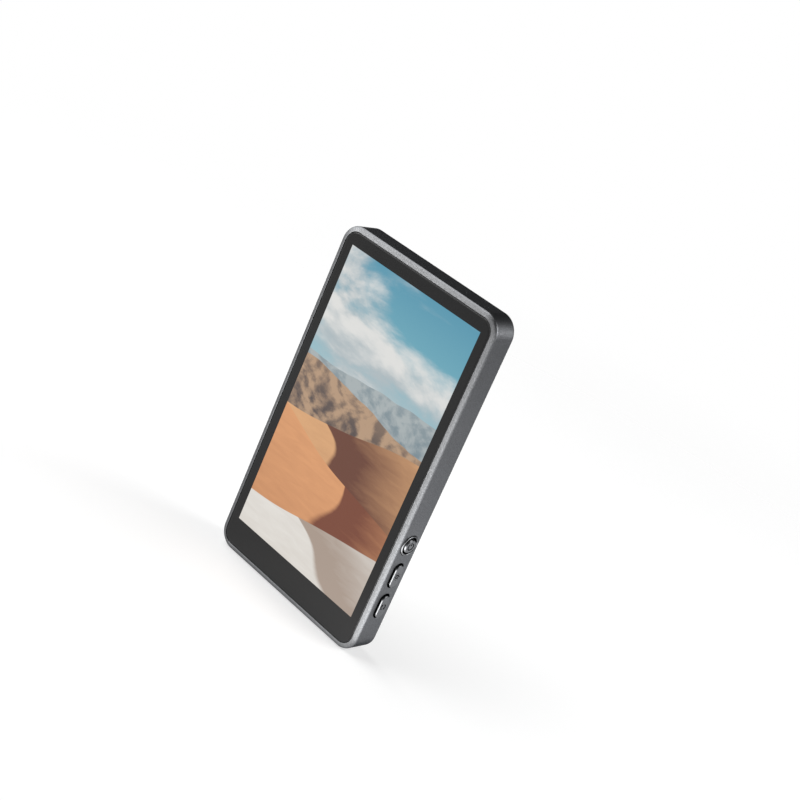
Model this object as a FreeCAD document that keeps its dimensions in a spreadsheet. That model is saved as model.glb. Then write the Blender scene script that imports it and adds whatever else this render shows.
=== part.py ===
import FreeCAD, Part
import math
import os
import Sketcher

# Selfie monitor: a slim screen that clings to the back of a phone by a ring of magnets.
# The part stands upright. +Z points to the top of the picture, the screen faces -Y, and the
# buttons are on the +X side. The origin is the middle of the soft pad on the rear, where the
# phone lies against it, so every level below is a distance forward of that pad, along -Y.

# Driving dimensions, in millimetres: the cell's alias, its value, and what it measures.
DIMENSIONS = (
    ("display_width", 56.0, "lit picture, across"),
    ("display_height", 99.6, "lit picture, up"),
    ("hold_height", 20.0, "middle of the magnet ring above the screen's centre line"),
    ("side_bezel", 3.6, "glass beside the picture"),
    ("top_bezel", 4.5, "glass above the picture"),
    ("chin_bezel", 9.6, "glass below the picture"),
    ("glass_gap", 0.2, "dark line between the glass and the rim"),
    ("rim_width", 1.45, "metal rim round the glass"),
    ("body_depth", 9.5, "front glass to rear cover"),
    ("corner_radius", 6.2, "outer corners of the frame, seen from the front"),
    ("rim_round", 1.2, "round on the frame's front edge"),
    ("rear_round", 0.6, "round on the frame's rear edge"),
    ("side_wall", 1.5, "frame wall beside the cavity"),
    ("glass_thickness", 0.8, "cover glass"),
    ("glass_bevel", 0.22, "bevel on the glass's front edge"),
    ("bond_thickness", 0.2, "clear film and tape behind the glass"),
    ("tape_inset", 0.3, "glass tape, in from the glass edge and from the window"),
    ("panel_thickness", 0.9, "liquid crystal cell"),
    ("panel_margin", 1.4, "cell beyond the picture at the sides and top"),
    ("driver_ledge", 4.6, "cell below the picture, for its driver"),
    ("backlight_thickness", 1.0, "backlight"),
    ("window_gap", 0.3, "frame window round the cell"),
    ("window_radius", 0.6, "corners of the frame window"),
    ("chassis_thickness", 0.5, "plate behind the display"),
    ("chassis_side_gap", 0.75, "plate to the side walls"),
    ("chassis_end_gap", 0.3, "plate to the top and bottom walls"),
    ("boss_inset", 3.0, "screw boss axis from the two cavity walls"),
    ("boss_radius", 2.8, "screw boss"),
    ("boss_gap", 0.3, "plate and board round the bosses"),
    ("cover_thickness", 1.2, "rear cover"),
    ("cover_gap", 0.1, "rear cover to the frame"),
    ("pad_diameter", 58.0, "soft rear pad"),
    ("pad_thickness", 0.8, "soft rear pad"),
    ("pad_proud", 0.4, "pad above the rear cover"),
    ("pad_gap", 0.1, "pad to its recess"),
    ("pad_round", 0.25, "round on the pad's rear edge"),
    ("magnet_outside", 54.0, "magnet ring, outer diameter"),
    ("magnet_inside", 46.0, "magnet ring, inner diameter"),
    ("magnet_thickness", 1.2, "magnets"),
    ("magnet_slit", 0.4, "gap between neighbouring magnets"),
    ("magnet_sink", 0.4, "groove in the rear cover that holds the magnets"),
    ("magnet_gap", 0.2, "magnets to the sides of their groove"),
    ("shield_thickness", 0.4, "steel ring on the magnets"),
    ("battery_width", 46.0, "cell pouch, across"),
    ("battery_height", 59.0, "cell pouch, up"),
    ("battery_thickness", 2.9, "cell pouch"),
    ("battery_rise", 1.5, "middle of the cell above the magnet ring's"),
    ("battery_end_gap", 3.0, "least room from the cell to the top wall, for the screw heads"),
    ("battery_board_gap", 3.0, "least room from the cell to the main board"),
    ("battery_round", 1.0, "long edges of the pouch"),
    ("battery_corner", 1.5, "corners of the pouch"),
    ("battery_tape_thickness", 0.2, "tape under the cell"),
    ("battery_tape_inset", 4.0, "tape in from the cell's edges"),
    ("board_thickness", 0.8, "main board"),
    ("board_gap", 0.57, "main board to the rear cover"),
    ("board_height", 47.0, "main board, up"),
    ("board_side_gap", 1.25, "main board to the side walls"),
    ("board_end_gap", 0.5, "main board to the bottom wall"),
    ("standoff_inset", 5.0, "standoff axis from the board's side edges"),
    ("standoff_low", 9.8, "lower standoff axis above the board's bottom edge"),
    ("standoff_high", 2.2, "upper standoff axis below the board's top edge"),
    ("standoff_diameter", 3.2, "standoffs"),
    ("cover_screw_diameter", 1.6, "rear cover screws"),
    ("cover_screw_length", 3.4, "rear cover screws, under the head"),
    ("cover_head_diameter", 2.8, "rear cover screw heads"),
    ("cover_head_height", 0.7, "rear cover screw heads"),
    ("cover_head_sink", 0.8, "seat of the heads below the cover's face"),
    ("board_screw_diameter", 1.4, "board screws"),
    ("board_screw_length", 3.0, "board screws, under the head"),
    ("board_head_diameter", 2.4, "board screw heads"),
    ("board_head_height", 0.45, "board screw heads"),
    ("chassis_screw_diameter", 1.2, "chassis screws"),
    ("chassis_screw_length", 2.0, "chassis screws, under the head"),
    ("chassis_head_diameter", 1.8, "chassis screw heads"),
    ("chassis_head_height", 0.5, "chassis screw heads"),
    ("chassis_screw_reach", 15.0, "chassis screws to each side of the middle"),
    ("chassis_screw_inset", 1.325, "upper chassis screws from the top wall"),
    ("screw_gap", 0.05, "screws in their holes, each side"),
    ("drive_width", 1.2, "six-sided drive of the rear cover screws, across the flats"),
    ("drive_depth", 0.4, "drive of the rear cover screws"),
    ("button_depth", 5.0, "button axes behind the glass face"),
    ("power_drop", 20.5, "power button below the screen's centre line"),
    ("brightness_drop", 31.4, "brightness button below the screen's centre line"),
    ("rotate_drop", 42.6, "rotate button below the screen's centre line"),
    ("button_gap", 0.5, "caps to their openings, each side"),
    ("button_proud", 0.75, "caps above the frame's side"),
    ("button_travel", 0.4, "press of a button"),
    ("button_bevel", 0.3, "bevel on the caps"),
    ("power_cap_diameter", 4.8, "round cap"),
    ("oblong_cap_length", 8.0, "oblong caps, end to end"),
    ("oblong_cap_width", 3.5, "oblong caps, across"),
    ("head_clearance", 0.1, "pressed cap to the wall's inner face"),
    ("neck_thickness", 3.0, "cap's neck and flange, across the frame's depth"),
    ("neck_length", 3.6, "cap's neck, along the frame"),
    ("flange_thickness", 0.6, "flange that keeps a cap in"),
    ("flange_reach", 0.9, "flange past the opening, each end"),
    ("flange_gap", 0.05, "flange to the wall's inner face"),
    ("ring_width", 0.6, "raised ring round the power button"),
    ("ring_proud", 0.4, "ring above the frame's side"),
    ("ring_sink", 0.6, "ring's seat in the frame's side"),
    ("ring_bevel", 0.25, "bevel on the ring"),
    ("switch_length", 4.6, "switch body, along the frame"),
    ("switch_width", 2.6, "switch body, across"),
    ("switch_height", 3.3, "switch body above the board"),
    ("switch_play", 0.4, "pressed flange to the switch body"),
    ("plunger_diameter", 1.6, "switch plunger"),
    ("plunger_gap", 0.05, "plunger in its bore, each side"),
    ("plunger_grip", 1.4, "plunger inside the switch body at rest"),
    ("bore_spare", 0.1, "bore below the pressed plunger"),
    ("usb_width", 8.94, "socket shell, across"),
    ("usb_height", 3.16, "socket shell, along the depth"),
    ("usb_length", 7.35, "socket shell, front to back"),
    ("usb_wall", 0.3, "socket shell wall"),
    ("usb_gap", 0.13, "frame opening round the shell, each side"),
    ("usb_recess", 0.3, "socket mouth behind the frame's bottom face"),
    ("usb_base", 1.6, "moulding at the inner end of the socket"),
    ("tongue_width", 6.7, "contact tongue, across"),
    ("tongue_thickness", 0.7, "contact tongue"),
    ("tongue_length", 4.45, "contact tongue, past its moulding"),
    ("flex_width", 12.0, "display flex"),
    ("flex_thickness", 0.15, "display flex and battery lead"),
    ("flex_offset", 12.0, "display flex to the left of the middle"),
    ("flex_inset", 1.9, "display flex above the cell's bottom edge"),
    ("flex_lap", 7.0, "display flex over its connector and the board"),
    ("flex_slot_gap", 0.6, "slot in the chassis round the flex"),
    ("display_socket_length", 13.0, "display connector, across"),
    ("display_socket_width", 3.2, "display connector, up"),
    ("display_socket_height", 1.0, "display connector above the board"),
    ("battery_socket_length", 7.0, "battery connector, across"),
    ("battery_socket_width", 4.0, "battery connector, up"),
    ("battery_socket_height", 1.2, "battery connector above the board"),
    ("battery_socket_drop", 5.0, "battery connector below the board's top edge"),
    ("battery_socket_offset", 12.0, "battery connector to the right of the middle"),
    ("battery_lead_width", 6.0, "battery lead"),
    ("can_width", 18.0, "shield can, across"),
    ("can_height", 16.0, "shield can, up"),
    ("can_rise", 1.6, "shield can above the board"),
    ("can_drop", 18.0, "middle of the shield can below the board's top edge"),
    ("module_width", 12.0, "wireless module, across and up"),
    ("module_rise", 1.8, "wireless module above the board"),
    ("module_drop", 11.0, "middle of the wireless module below the board's top edge"),
    ("module_offset", 24.0, "wireless module to the left of the middle"),
    ("charger_width", 4.0, "charging chip, across and up"),
    ("charger_rise", 0.9, "charging chip above the board"),
    ("charger_offset", 10.0, "charging chip to the right of the middle"),
    ("charger_lift", 11.0, "charging chip above the board's bottom edge"),
    ("coil_width", 5.0, "power inductor, across and up"),
    ("coil_rise", 2.0, "power inductor above the board"),
    ("coil_offset", 17.0, "power inductor to the right of the middle"),
    ("coil_round", 1.0, "corners of the power inductor"),
    ("antenna_width", 3.0, "antenna strip, across"),
    ("antenna_height", 34.0, "antenna strip, up"),
    ("antenna_thickness", 0.2, "antenna strip"),
    ("antenna_inset", 2.2, "middle of the antenna from the side wall"),
    ("antenna_rise", 8.0, "middle of the antenna above the magnet ring's"),
    ("lead_diameter", 1.0, "antenna lead"),
    ("lead_gap", 0.05, "antenna lead above what it lies on"),
    ("lead_lap", 6.0, "antenna lead over the antenna"),
    ("lead_climb", 9.0, "run in which the lead climbs on to the module"),
    ("lead_bend", 6.0, "bends of the antenna lead"),
    ("cut_overrun", 1.0, "how far a cut runs past the face that it opens"),
)
MAGNET_COUNT = 16
DRIVE_SIDES = 6

# Derived sizes, as formulas over the cells. Levels are distances forward of the rear pad's face.
FRONT = "(Dims.pad_proud + Dims.body_depth)"
COVER_FRONT = "(Dims.pad_proud + Dims.cover_thickness)"
GLASS_REAR = f"({FRONT} - Dims.glass_thickness)"
LEDGE_FRONT = f"({GLASS_REAR} - Dims.bond_thickness)"
PANEL_REAR = f"({LEDGE_FRONT} - Dims.panel_thickness)"
LEDGE_REAR = f"({PANEL_REAR} - Dims.backlight_thickness)"
CHASSIS_REAR = f"({LEDGE_REAR} - Dims.chassis_thickness)"
MAGNET_REAR = f"({COVER_FRONT} - Dims.magnet_sink)"
SHIELD_REAR = f"({MAGNET_REAR} + Dims.magnet_thickness)"
BOARD_REAR = f"({COVER_FRONT} + Dims.board_gap)"
BOARD_FRONT = f"({BOARD_REAR} + Dims.board_thickness)"
BUTTON_LEVEL = f"({FRONT} - Dims.button_depth)"
USB_LEVEL = f"({BOARD_FRONT} + Dims.usb_height / 2)"

# Height of the body: the screen with its bezels sets it, unless the cell and the board need more.
RIM = "(Dims.glass_gap + Dims.rim_width)"
CENTRE_LINE = "(-Dims.hold_height)"
BODY_Z = f"({CENTRE_LINE} + (Dims.top_bezel - Dims.chin_bezel) / 2)"
BATTERY_HEAD = "(Dims.battery_rise + Dims.battery_height / 2)"
BATTERY_FOOT = "(Dims.battery_rise - Dims.battery_height / 2)"
SCREEN_HEIGHT = f"(Dims.display_height + Dims.top_bezel + Dims.chin_bezel + 2 * {RIM})"
HALF_ABOVE = f"({BATTERY_HEAD} + Dims.battery_end_gap + Dims.side_wall - {BODY_Z})"
BOARD_SPAN = "(Dims.battery_board_gap + Dims.board_height + Dims.board_end_gap)"
HALF_BELOW = f"({BODY_Z} - {BATTERY_FOOT} + {BOARD_SPAN} + Dims.side_wall)"
BODY_HEIGHT = f"max({SCREEN_HEIGHT}; 2 * {HALF_ABOVE}; 2 * {HALF_BELOW})"
BODY_BOTTOM = f"({BODY_Z} - {BODY_HEIGHT} / 2)"

# Outlines seen from the front: widths, heights, corner radii, and heights of centres.
DISPLAY_Z = f"({BODY_BOTTOM} + {RIM} + Dims.chin_bezel + Dims.display_height / 2)"
GLASS_WIDTH = "(Dims.display_width + 2 * Dims.side_bezel)"
GLASS_HEIGHT = f"({BODY_HEIGHT} - 2 * {RIM})"
BODY_WIDTH = f"({GLASS_WIDTH} + 2 * {RIM})"
CAVITY_WIDTH = f"({BODY_WIDTH} - 2 * Dims.side_wall)"
CAVITY_HEIGHT = f"({BODY_HEIGHT} - 2 * Dims.side_wall)"
CAVITY_RADIUS = "(Dims.corner_radius - Dims.side_wall)"
PANEL_WIDTH = "(Dims.display_width + 2 * Dims.panel_margin)"
PANEL_HEIGHT = "(Dims.display_height + Dims.panel_margin + Dims.driver_ledge)"
PANEL_Z = f"({DISPLAY_Z} + (Dims.panel_margin - Dims.driver_ledge) / 2)"
PANEL_BOTTOM = f"({PANEL_Z} - {PANEL_HEIGHT} / 2)"
BACKLIGHT_HEIGHT = "(Dims.display_height + 2 * Dims.panel_margin)"
WINDOW_WIDTH = f"({PANEL_WIDTH} + 2 * Dims.window_gap)"
WINDOW_HEIGHT = f"({PANEL_HEIGHT} + 2 * Dims.window_gap)"
BOSS_X = f"({CAVITY_WIDTH} / 2 - Dims.boss_inset)"
BOSS_RISE = f"({CAVITY_HEIGHT} / 2 - Dims.boss_inset)"
BOSS_NOTCH = "(Dims.boss_inset + Dims.boss_radius + Dims.boss_gap)"
LEDGE_TOP_Z = f"({BODY_Z} + {CAVITY_HEIGHT} / 2 - Dims.chassis_screw_inset)"
LEDGE_FOOT_Z = f"(({PANEL_Z} - {WINDOW_HEIGHT} / 2 + {BODY_Z} - {CAVITY_HEIGHT} / 2) / 2)"
BOARD_WIDTH = f"({CAVITY_WIDTH} - 2 * Dims.board_side_gap)"
BOARD_BOTTOM = f"({BODY_Z} - {CAVITY_HEIGHT} / 2 + Dims.board_end_gap)"
BOARD_TOP = f"({BOARD_BOTTOM} + Dims.board_height)"
STANDOFF_X = f"({BOARD_WIDTH} / 2 - Dims.standoff_inset)"
STANDOFF_LOW_Z = f"({BOARD_BOTTOM} + Dims.standoff_low)"
STANDOFF_HIGH_Z = f"({BOARD_TOP} - Dims.standoff_high)"
CHASSIS_HOLE = "(Dims.chassis_screw_diameter + 2 * Dims.screw_gap)"
BOARD_HOLE = "(Dims.board_screw_diameter + 2 * Dims.screw_gap)"

# Button side: distances along X from the origin.
SIDE_OUT = f"({BODY_WIDTH} / 2)"
SIDE_IN = f"({CAVITY_WIDTH} / 2)"
HEAD_IN = f"({SIDE_IN} + Dims.button_travel + Dims.head_clearance)"
FLANGE_OUT = f"({SIDE_IN} - Dims.flange_gap)"
FLANGE_IN = f"({FLANGE_OUT} - Dims.flange_thickness)"
SWITCH_FACE = f"({FLANGE_IN} - Dims.button_travel - Dims.switch_play)"
POWER_HOLE = "(Dims.power_cap_diameter + 2 * Dims.button_gap)"
RING_OUTSIDE = f"({POWER_HOLE} + 2 * Dims.ring_width)"
OBLONG_HOLE_LENGTH = "(Dims.oblong_cap_length + 2 * Dims.button_gap)"
OBLONG_HOLE_WIDTH = "(Dims.oblong_cap_width + 2 * Dims.button_gap)"
POWER_Z = f"({CENTRE_LINE} - Dims.power_drop)"
BRIGHTNESS_Z = f"({CENTRE_LINE} - Dims.brightness_drop)"
ROTATE_Z = f"({CENTRE_LINE} - Dims.rotate_drop)"
USB_MOUTH = f"({BODY_BOTTOM} + Dims.usb_recess)"

doc = FreeCAD.newDocument("selfie_monitor")
sheet = doc.addObject("Spreadsheet::Sheet", "Dims")
for row, (alias, value, meaning) in enumerate(DIMENSIONS, start=1):
    sheet.set(f"A{row}", meaning)
    sheet.set(f"B{row}", str(value))
    sheet.setAlias(f"B{row}", alias)
doc.recompute()

UPWARD = FreeCAD.Vector(0, 0, 1)
pieces = []


def number(formula):
    """The present value of a formula, in millimetres."""
    return float(sheet.evalExpression(formula))


def point(across, up):
    """A sketch point at the present values of two formulas."""
    return FreeCAD.Vector(number(across), number(up), 0)


def new_piece(label, x="0", level="0", z="0"):
    """An empty body whose origin lies at x, at a level forward of the rear pad, and at height z."""
    body = doc.addObject("PartDesign::Body", label)
    body.Label = label
    body.setExpression("Placement.Base.x", x)
    body.setExpression("Placement.Base.y", f"-({level})")
    body.setExpression("Placement.Base.z", z)
    pieces.append(body)
    return body


def new_sketch(body, plane, name, across="0", up="0", out="0"):
    """A sketch on one of the body's own planes, shifted in that plane and along its normal.

    The front plane is seen from the screen's side and its normal points forward. The side
    plane's normal points to the buttons, and the floor plane's normal points up.
    """
    roles = {"front": "XZ_Plane", "side": "YZ_Plane", "floor": "XY_Plane"}
    planes = {feature.Role: feature for feature in body.Origin.OriginFeatures}
    sketch = body.newObject("Sketcher::SketchObject", f"{body.Name}_{name}")
    sketch.AttachmentSupport = (planes[roles[plane]], [""])
    sketch.MapMode = "FlatFace"
    sketch.setExpression("AttachmentOffset.Base.x", across)
    sketch.setExpression("AttachmentOffset.Base.y", up)
    sketch.setExpression("AttachmentOffset.Base.z", out)
    return sketch


def bind(sketch, constraint, formula):
    """Add a constraint whose value follows a formula over the sheet."""
    index = sketch.addConstraint(constraint)
    name = f"size{index}"
    sketch.renameConstraint(index, name)
    sketch.setExpression(f"Constraints.{name}", formula)


def draw_circle(sketch, diameter, across="0", up="0"):
    """A circle at a point of the sketch."""
    curve = Part.Circle(point(across, up), UPWARD, number(diameter) / 2)
    ring = sketch.addGeometry(curve)
    bind(sketch, Sketcher.Constraint("Diameter", ring, number(diameter)), diameter)
    bind(sketch, Sketcher.Constraint("DistanceX", -1, 1, ring, 3, number(across)), across)
    bind(sketch, Sketcher.Constraint("DistanceY", -1, 1, ring, 3, number(up)), up)


def draw_polygon(sketch, corners):
    """A closed polygon through corners, each a pair of formulas."""
    places = [point(across, up) for across, up in corners]
    ahead = places[1:] + places[:1]
    sides = [sketch.addGeometry(Part.LineSegment(here, there)) for here, there in zip(places, ahead)]
    for index, side in enumerate(sides):
        sketch.addConstraint(Sketcher.Constraint("Coincident", sides[index - 1], 2, side, 1))
    for side, place, (across, up) in zip(sides, places, corners):
        bind(sketch, Sketcher.Constraint("DistanceX", -1, 1, side, 1, place.x), across)
        bind(sketch, Sketcher.Constraint("DistanceY", -1, 1, side, 1, place.y), up)


def draw_rectangle(sketch, width, height, across="0", up="0"):
    """A rectangle with square corners, centred on a point of the sketch."""
    left = f"({across}) - ({width}) / 2"
    right = f"({across}) + ({width}) / 2"
    low = f"({up}) - ({height}) / 2"
    high = f"({up}) + ({height}) / 2"
    draw_polygon(sketch, ((left, low), (right, low), (right, high), (left, high)))


def draw_rounded_rectangle(sketch, width, height, radius):
    """A rectangle with round corners, centred on the sketch's origin."""
    half_width = number(width) / 2
    half_height = number(height) / 2
    corner = number(radius)
    side_x = half_width - corner
    side_y = half_height - corner
    quarter = math.pi / 2

    def line(x_start, y_start, x_end, y_end):
        start = FreeCAD.Vector(x_start, y_start, 0)
        return sketch.addGeometry(Part.LineSegment(start, FreeCAD.Vector(x_end, y_end, 0)))

    def arc(x, y, turn):
        circle = Part.Circle(FreeCAD.Vector(x, y, 0), UPWARD, corner)
        return sketch.addGeometry(Part.ArcOfCircle(circle, turn * quarter, (turn + 1) * quarter))

    bottom = line(-side_x, -half_height, side_x, -half_height)
    right = line(half_width, -side_y, half_width, side_y)
    top = line(side_x, half_height, -side_x, half_height)
    left = line(-half_width, side_y, -half_width, -side_y)
    low_right, high_right = arc(side_x, -side_y, 3), arc(side_x, side_y, 0)
    high_left, low_left = arc(-side_x, side_y, 1), arc(-side_x, -side_y, 2)
    corners = (low_right, high_right, high_left, low_left)
    sides = (bottom, right, top, left)
    for index, curve in enumerate(corners):
        following = sides[(index + 1) % len(sides)]
        sketch.addConstraint(Sketcher.Constraint("Tangent", sides[index], 2, curve, 1))
        sketch.addConstraint(Sketcher.Constraint("Tangent", curve, 2, following, 1))
    for curve in corners[1:]:
        sketch.addConstraint(Sketcher.Constraint("Equal", corners[0], curve))
    sketch.addConstraint(Sketcher.Constraint("Horizontal", bottom))
    sketch.addConstraint(Sketcher.Constraint("Vertical", right))
    sketch.addConstraint(Sketcher.Constraint("Horizontal", top))
    sketch.addConstraint(Sketcher.Constraint("Vertical", left))
    sketch.addConstraint(Sketcher.Constraint("Symmetric", bottom, 1, top, 1, -1, 1))
    bind(sketch, Sketcher.Constraint("Radius", corners[0], corner), radius)
    bind(sketch, Sketcher.Constraint("DistanceX", left, 1, right, 1, 2 * half_width), width)
    bind(sketch, Sketcher.Constraint("DistanceY", bottom, 1, top, 1, 2 * half_height), height)


def draw_oblong(sketch, length, width, upright=True):
    """An oblong with half-round ends, centred on the sketch's origin."""
    radius = number(width) / 2
    reach = number(length) / 2 - radius
    along = FreeCAD.Vector(0, 1, 0) if upright else FreeCAD.Vector(1, 0, 0)
    beside = FreeCAD.Vector(1, 0, 0) if upright else FreeCAD.Vector(0, -1, 0)
    turn = 0 if upright else -math.pi / 2
    far, near = along * reach, along * -reach
    edge = beside * radius

    def half_round(middle, start):
        circle = Part.Circle(middle, UPWARD, radius)
        return sketch.addGeometry(Part.ArcOfCircle(circle, start, start + math.pi))

    far_end = half_round(far, turn)
    near_end = half_round(near, turn + math.pi)
    left = sketch.addGeometry(Part.LineSegment(far - edge, near - edge))
    right = sketch.addGeometry(Part.LineSegment(near + edge, far + edge))
    for first, second in ((far_end, left), (left, near_end), (near_end, right), (right, far_end)):
        sketch.addConstraint(Sketcher.Constraint("Tangent", first, 2, second, 1))
    sketch.addConstraint(Sketcher.Constraint("Equal", far_end, near_end))
    sketch.addConstraint(Sketcher.Constraint("Vertical" if upright else "Horizontal", right))
    sketch.addConstraint(Sketcher.Constraint("Symmetric", far_end, 3, near_end, 3, -1, 1))
    bind(sketch, Sketcher.Constraint("Radius", far_end, radius), f"({width}) / 2")
    span = f"({length}) - ({width})"
    axis = "DistanceY" if upright else "DistanceX"
    bind(sketch, Sketcher.Constraint(axis, near_end, 3, far_end, 3, 2 * reach), span)


def add_pad(sketch, length, backward=False, centred=False):
    """Grow the sketch's outline along its normal, or against it, or evenly both ways."""
    body = sketch.getParentGeoFeatureGroup()
    feature = body.newObject("PartDesign::Pad", f"{sketch.Name}_pad")
    feature.Profile = sketch
    feature.Reversed = backward
    if centred:
        feature.SideType = "Symmetric"
    feature.setExpression("Length", length)
    doc.recompute()
    return feature


def add_pocket(sketch, length, forward=False):
    """Cut the sketch's outline against its normal, or along it."""
    body = sketch.getParentGeoFeatureGroup()
    feature = body.newObject("PartDesign::Pocket", f"{sketch.Name}_cut")
    feature.Profile = sketch
    feature.Reversed = forward
    feature.setExpression("Length", length)
    doc.recompute()
    return feature


def dress_edges(base, kind, property_name, size, picks):
    """Round or bevel those edges of a feature that picks chooses."""
    body = base.getParentGeoFeatureGroup()
    edges = base.Shape.Edges
    names = [f"Edge{index}" for index, edge in enumerate(edges, start=1) if picks(edge)]
    feature = body.newObject(f"PartDesign::{kind}", f"{base.Name}_{kind.lower()}")
    feature.Base = (base, names)
    feature.setExpression(property_name, size)
    doc.recompute()
    return feature


def lies_in(axis, place):
    """A test for edges that lie wholly in the plane where one coordinate has this value."""
    tolerance = number("Dims.cut_overrun") / 1000

    def test(edge):
        box = edge.BoundBox
        low = getattr(box, f"{axis}Min")
        high = getattr(box, f"{axis}Max")
        return abs(low - place) < tolerance and abs(high - place) < tolerance

    return test


def make_slab(label, width, height, thickness, x="0", level="0", z="0"):
    """A plain rectangular plate that lies parallel to the screen."""
    body = new_piece(label, x, level, z)
    sketch = new_sketch(body, "front", "outline")
    draw_rectangle(sketch, width, height)
    add_pad(sketch, thickness)
    return body


def make_side_frame():
    """The metal ring: a rounded block, opened for the glass, the display and the cavity."""
    body = new_piece("side_frame", level="Dims.pad_proud", z=BODY_Z)
    outline = new_sketch(body, "front", "outline")
    draw_rounded_rectangle(outline, BODY_WIDTH, BODY_HEIGHT, "Dims.corner_radius")
    block = add_pad(outline, "Dims.body_depth")
    front_edges = lies_in("Y", -number("Dims.body_depth"))
    rounded = dress_edges(block, "Fillet", "Radius", "Dims.rim_round", front_edges)
    dress_edges(rounded, "Fillet", "Radius", "Dims.rear_round", lies_in("Y", 0))

    seat = new_sketch(body, "front", "seat", out="Dims.body_depth")
    seat_width = f"{GLASS_WIDTH} + 2 * Dims.glass_gap"
    seat_height = f"{GLASS_HEIGHT} + 2 * Dims.glass_gap"
    draw_rounded_rectangle(seat, seat_width, seat_height, "Dims.corner_radius - Dims.rim_width")
    add_pocket(seat, "Dims.glass_thickness + Dims.bond_thickness")

    window = new_sketch(body, "front", "window", up=f"{PANEL_Z} - {BODY_Z}", out="Dims.body_depth")
    draw_rounded_rectangle(window, WINDOW_WIDTH, WINDOW_HEIGHT, "Dims.window_radius")
    add_pocket(window, "Dims.body_depth + Dims.cut_overrun")

    cavity = new_sketch(body, "front", "cavity")
    draw_rounded_rectangle(cavity, CAVITY_WIDTH, CAVITY_HEIGHT, CAVITY_RADIUS)
    add_pocket(cavity, f"{LEDGE_REAR} - Dims.pad_proud", forward=True)

    bosses = new_sketch(body, "front", "bosses", out="Dims.cover_thickness")
    for across, up in boss_places():
        draw_circle(bosses, "2 * Dims.boss_radius", across, up)
    add_pad(bosses, f"{CHASSIS_REAR} - {COVER_FRONT}")

    holes = new_sketch(body, "front", "boss_holes", out="Dims.cover_thickness")
    for across, up in boss_places():
        draw_circle(holes, "Dims.cover_screw_diameter + 2 * Dims.screw_gap", across, up)
    add_pocket(holes, "Dims.cover_screw_length", forward=True)

    threads = new_sketch(body, "front", "chassis_holes", out=f"{LEDGE_REAR} - Dims.pad_proud")
    for across, height in chassis_screw_places():
        draw_circle(threads, CHASSIS_HOLE, across, f"{height} - {BODY_Z}")
    thread_depth = "Dims.chassis_screw_length - Dims.chassis_thickness + 2 * Dims.screw_gap"
    add_pocket(threads, thread_depth, forward=True)

    button_line = f"Dims.pad_proud - {BUTTON_LEVEL}"
    hole = new_sketch(body, "side", "power_hole", button_line, f"{POWER_Z} - {BODY_Z}", SIDE_OUT)
    draw_circle(hole, POWER_HOLE)
    add_pocket(hole, "Dims.side_wall")
    ring_seat = new_sketch(body, "side", "ring_seat", button_line, f"{POWER_Z} - {BODY_Z}", SIDE_OUT)
    draw_circle(ring_seat, RING_OUTSIDE)
    add_pocket(ring_seat, "Dims.ring_sink")
    for name, height in (("brightness_slot", BRIGHTNESS_Z), ("rotate_slot", ROTATE_Z)):
        slot = new_sketch(body, "side", name, button_line, f"{height} - {BODY_Z}", SIDE_OUT)
        draw_oblong(slot, OBLONG_HOLE_LENGTH, OBLONG_HOLE_WIDTH)
        add_pocket(slot, "Dims.side_wall")

    port = new_sketch(body, "floor", "port", "0", f"Dims.pad_proud - {USB_LEVEL}", f"-{BODY_HEIGHT} / 2")
    port_width = "Dims.usb_width + 2 * Dims.usb_gap"
    draw_oblong(port, port_width, "Dims.usb_height + 2 * Dims.usb_gap", upright=False)
    add_pocket(port, "Dims.side_wall", forward=True)


def boss_places():
    """The four corner bosses, measured from the middle of the body."""
    return [(f"{side} * {BOSS_X}", f"{end} * {BOSS_RISE}") for side in (-1, 1) for end in (-1, 1)]


def chassis_screw_places():
    """Two chassis screws in the ledge above the display and two in the ledge below it."""
    reaches = ("-Dims.chassis_screw_reach", "Dims.chassis_screw_reach")
    return [(reach, height) for reach in reaches for height in (LEDGE_TOP_Z, LEDGE_FOOT_Z)]


def make_cover_glass():
    """Flat glass with a fine bevel round its front face."""
    body = new_piece("cover_glass", level=GLASS_REAR, z=BODY_Z)
    outline = new_sketch(body, "front", "outline")
    radius = f"Dims.corner_radius - {RIM}"
    draw_rounded_rectangle(outline, GLASS_WIDTH, GLASS_HEIGHT, radius)
    plate = add_pad(outline, "Dims.glass_thickness")
    dress_edges(plate, "Chamfer", "Size", "Dims.glass_bevel", lies_in("Y", -number("Dims.glass_thickness")))


def make_glass_adhesive():
    """A band of tape between the glass and the frame's ledge."""
    body = new_piece("glass_adhesive", level=LEDGE_FRONT, z=BODY_Z)
    outline = new_sketch(body, "front", "outline")
    width = f"{GLASS_WIDTH} - 2 * Dims.tape_inset"
    height = f"{GLASS_HEIGHT} - 2 * Dims.tape_inset"
    draw_rounded_rectangle(outline, width, height, f"Dims.corner_radius - {RIM} - Dims.tape_inset")
    add_pad(outline, "Dims.bond_thickness")
    window = new_sketch(body, "front", "window", up=f"{PANEL_Z} - {BODY_Z}")
    width = f"{WINDOW_WIDTH} + 2 * Dims.tape_inset"
    height = f"{WINDOW_HEIGHT} + 2 * Dims.tape_inset"
    draw_rectangle(window, width, height)
    add_pocket(window, "Dims.bond_thickness", forward=True)


def make_display():
    """The picture's layers, front to back: clear film, liquid crystal cell and backlight."""
    make_slab("display_bond_film", PANEL_WIDTH, BACKLIGHT_HEIGHT, "Dims.bond_thickness",
              level=LEDGE_FRONT, z=DISPLAY_Z)
    make_slab("display_panel", PANEL_WIDTH, PANEL_HEIGHT, "Dims.panel_thickness",
              level=PANEL_REAR, z=PANEL_Z)
    make_slab("backlight_unit", PANEL_WIDTH, BACKLIGHT_HEIGHT, "Dims.backlight_thickness",
              level=LEDGE_REAR, z=DISPLAY_Z)


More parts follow.
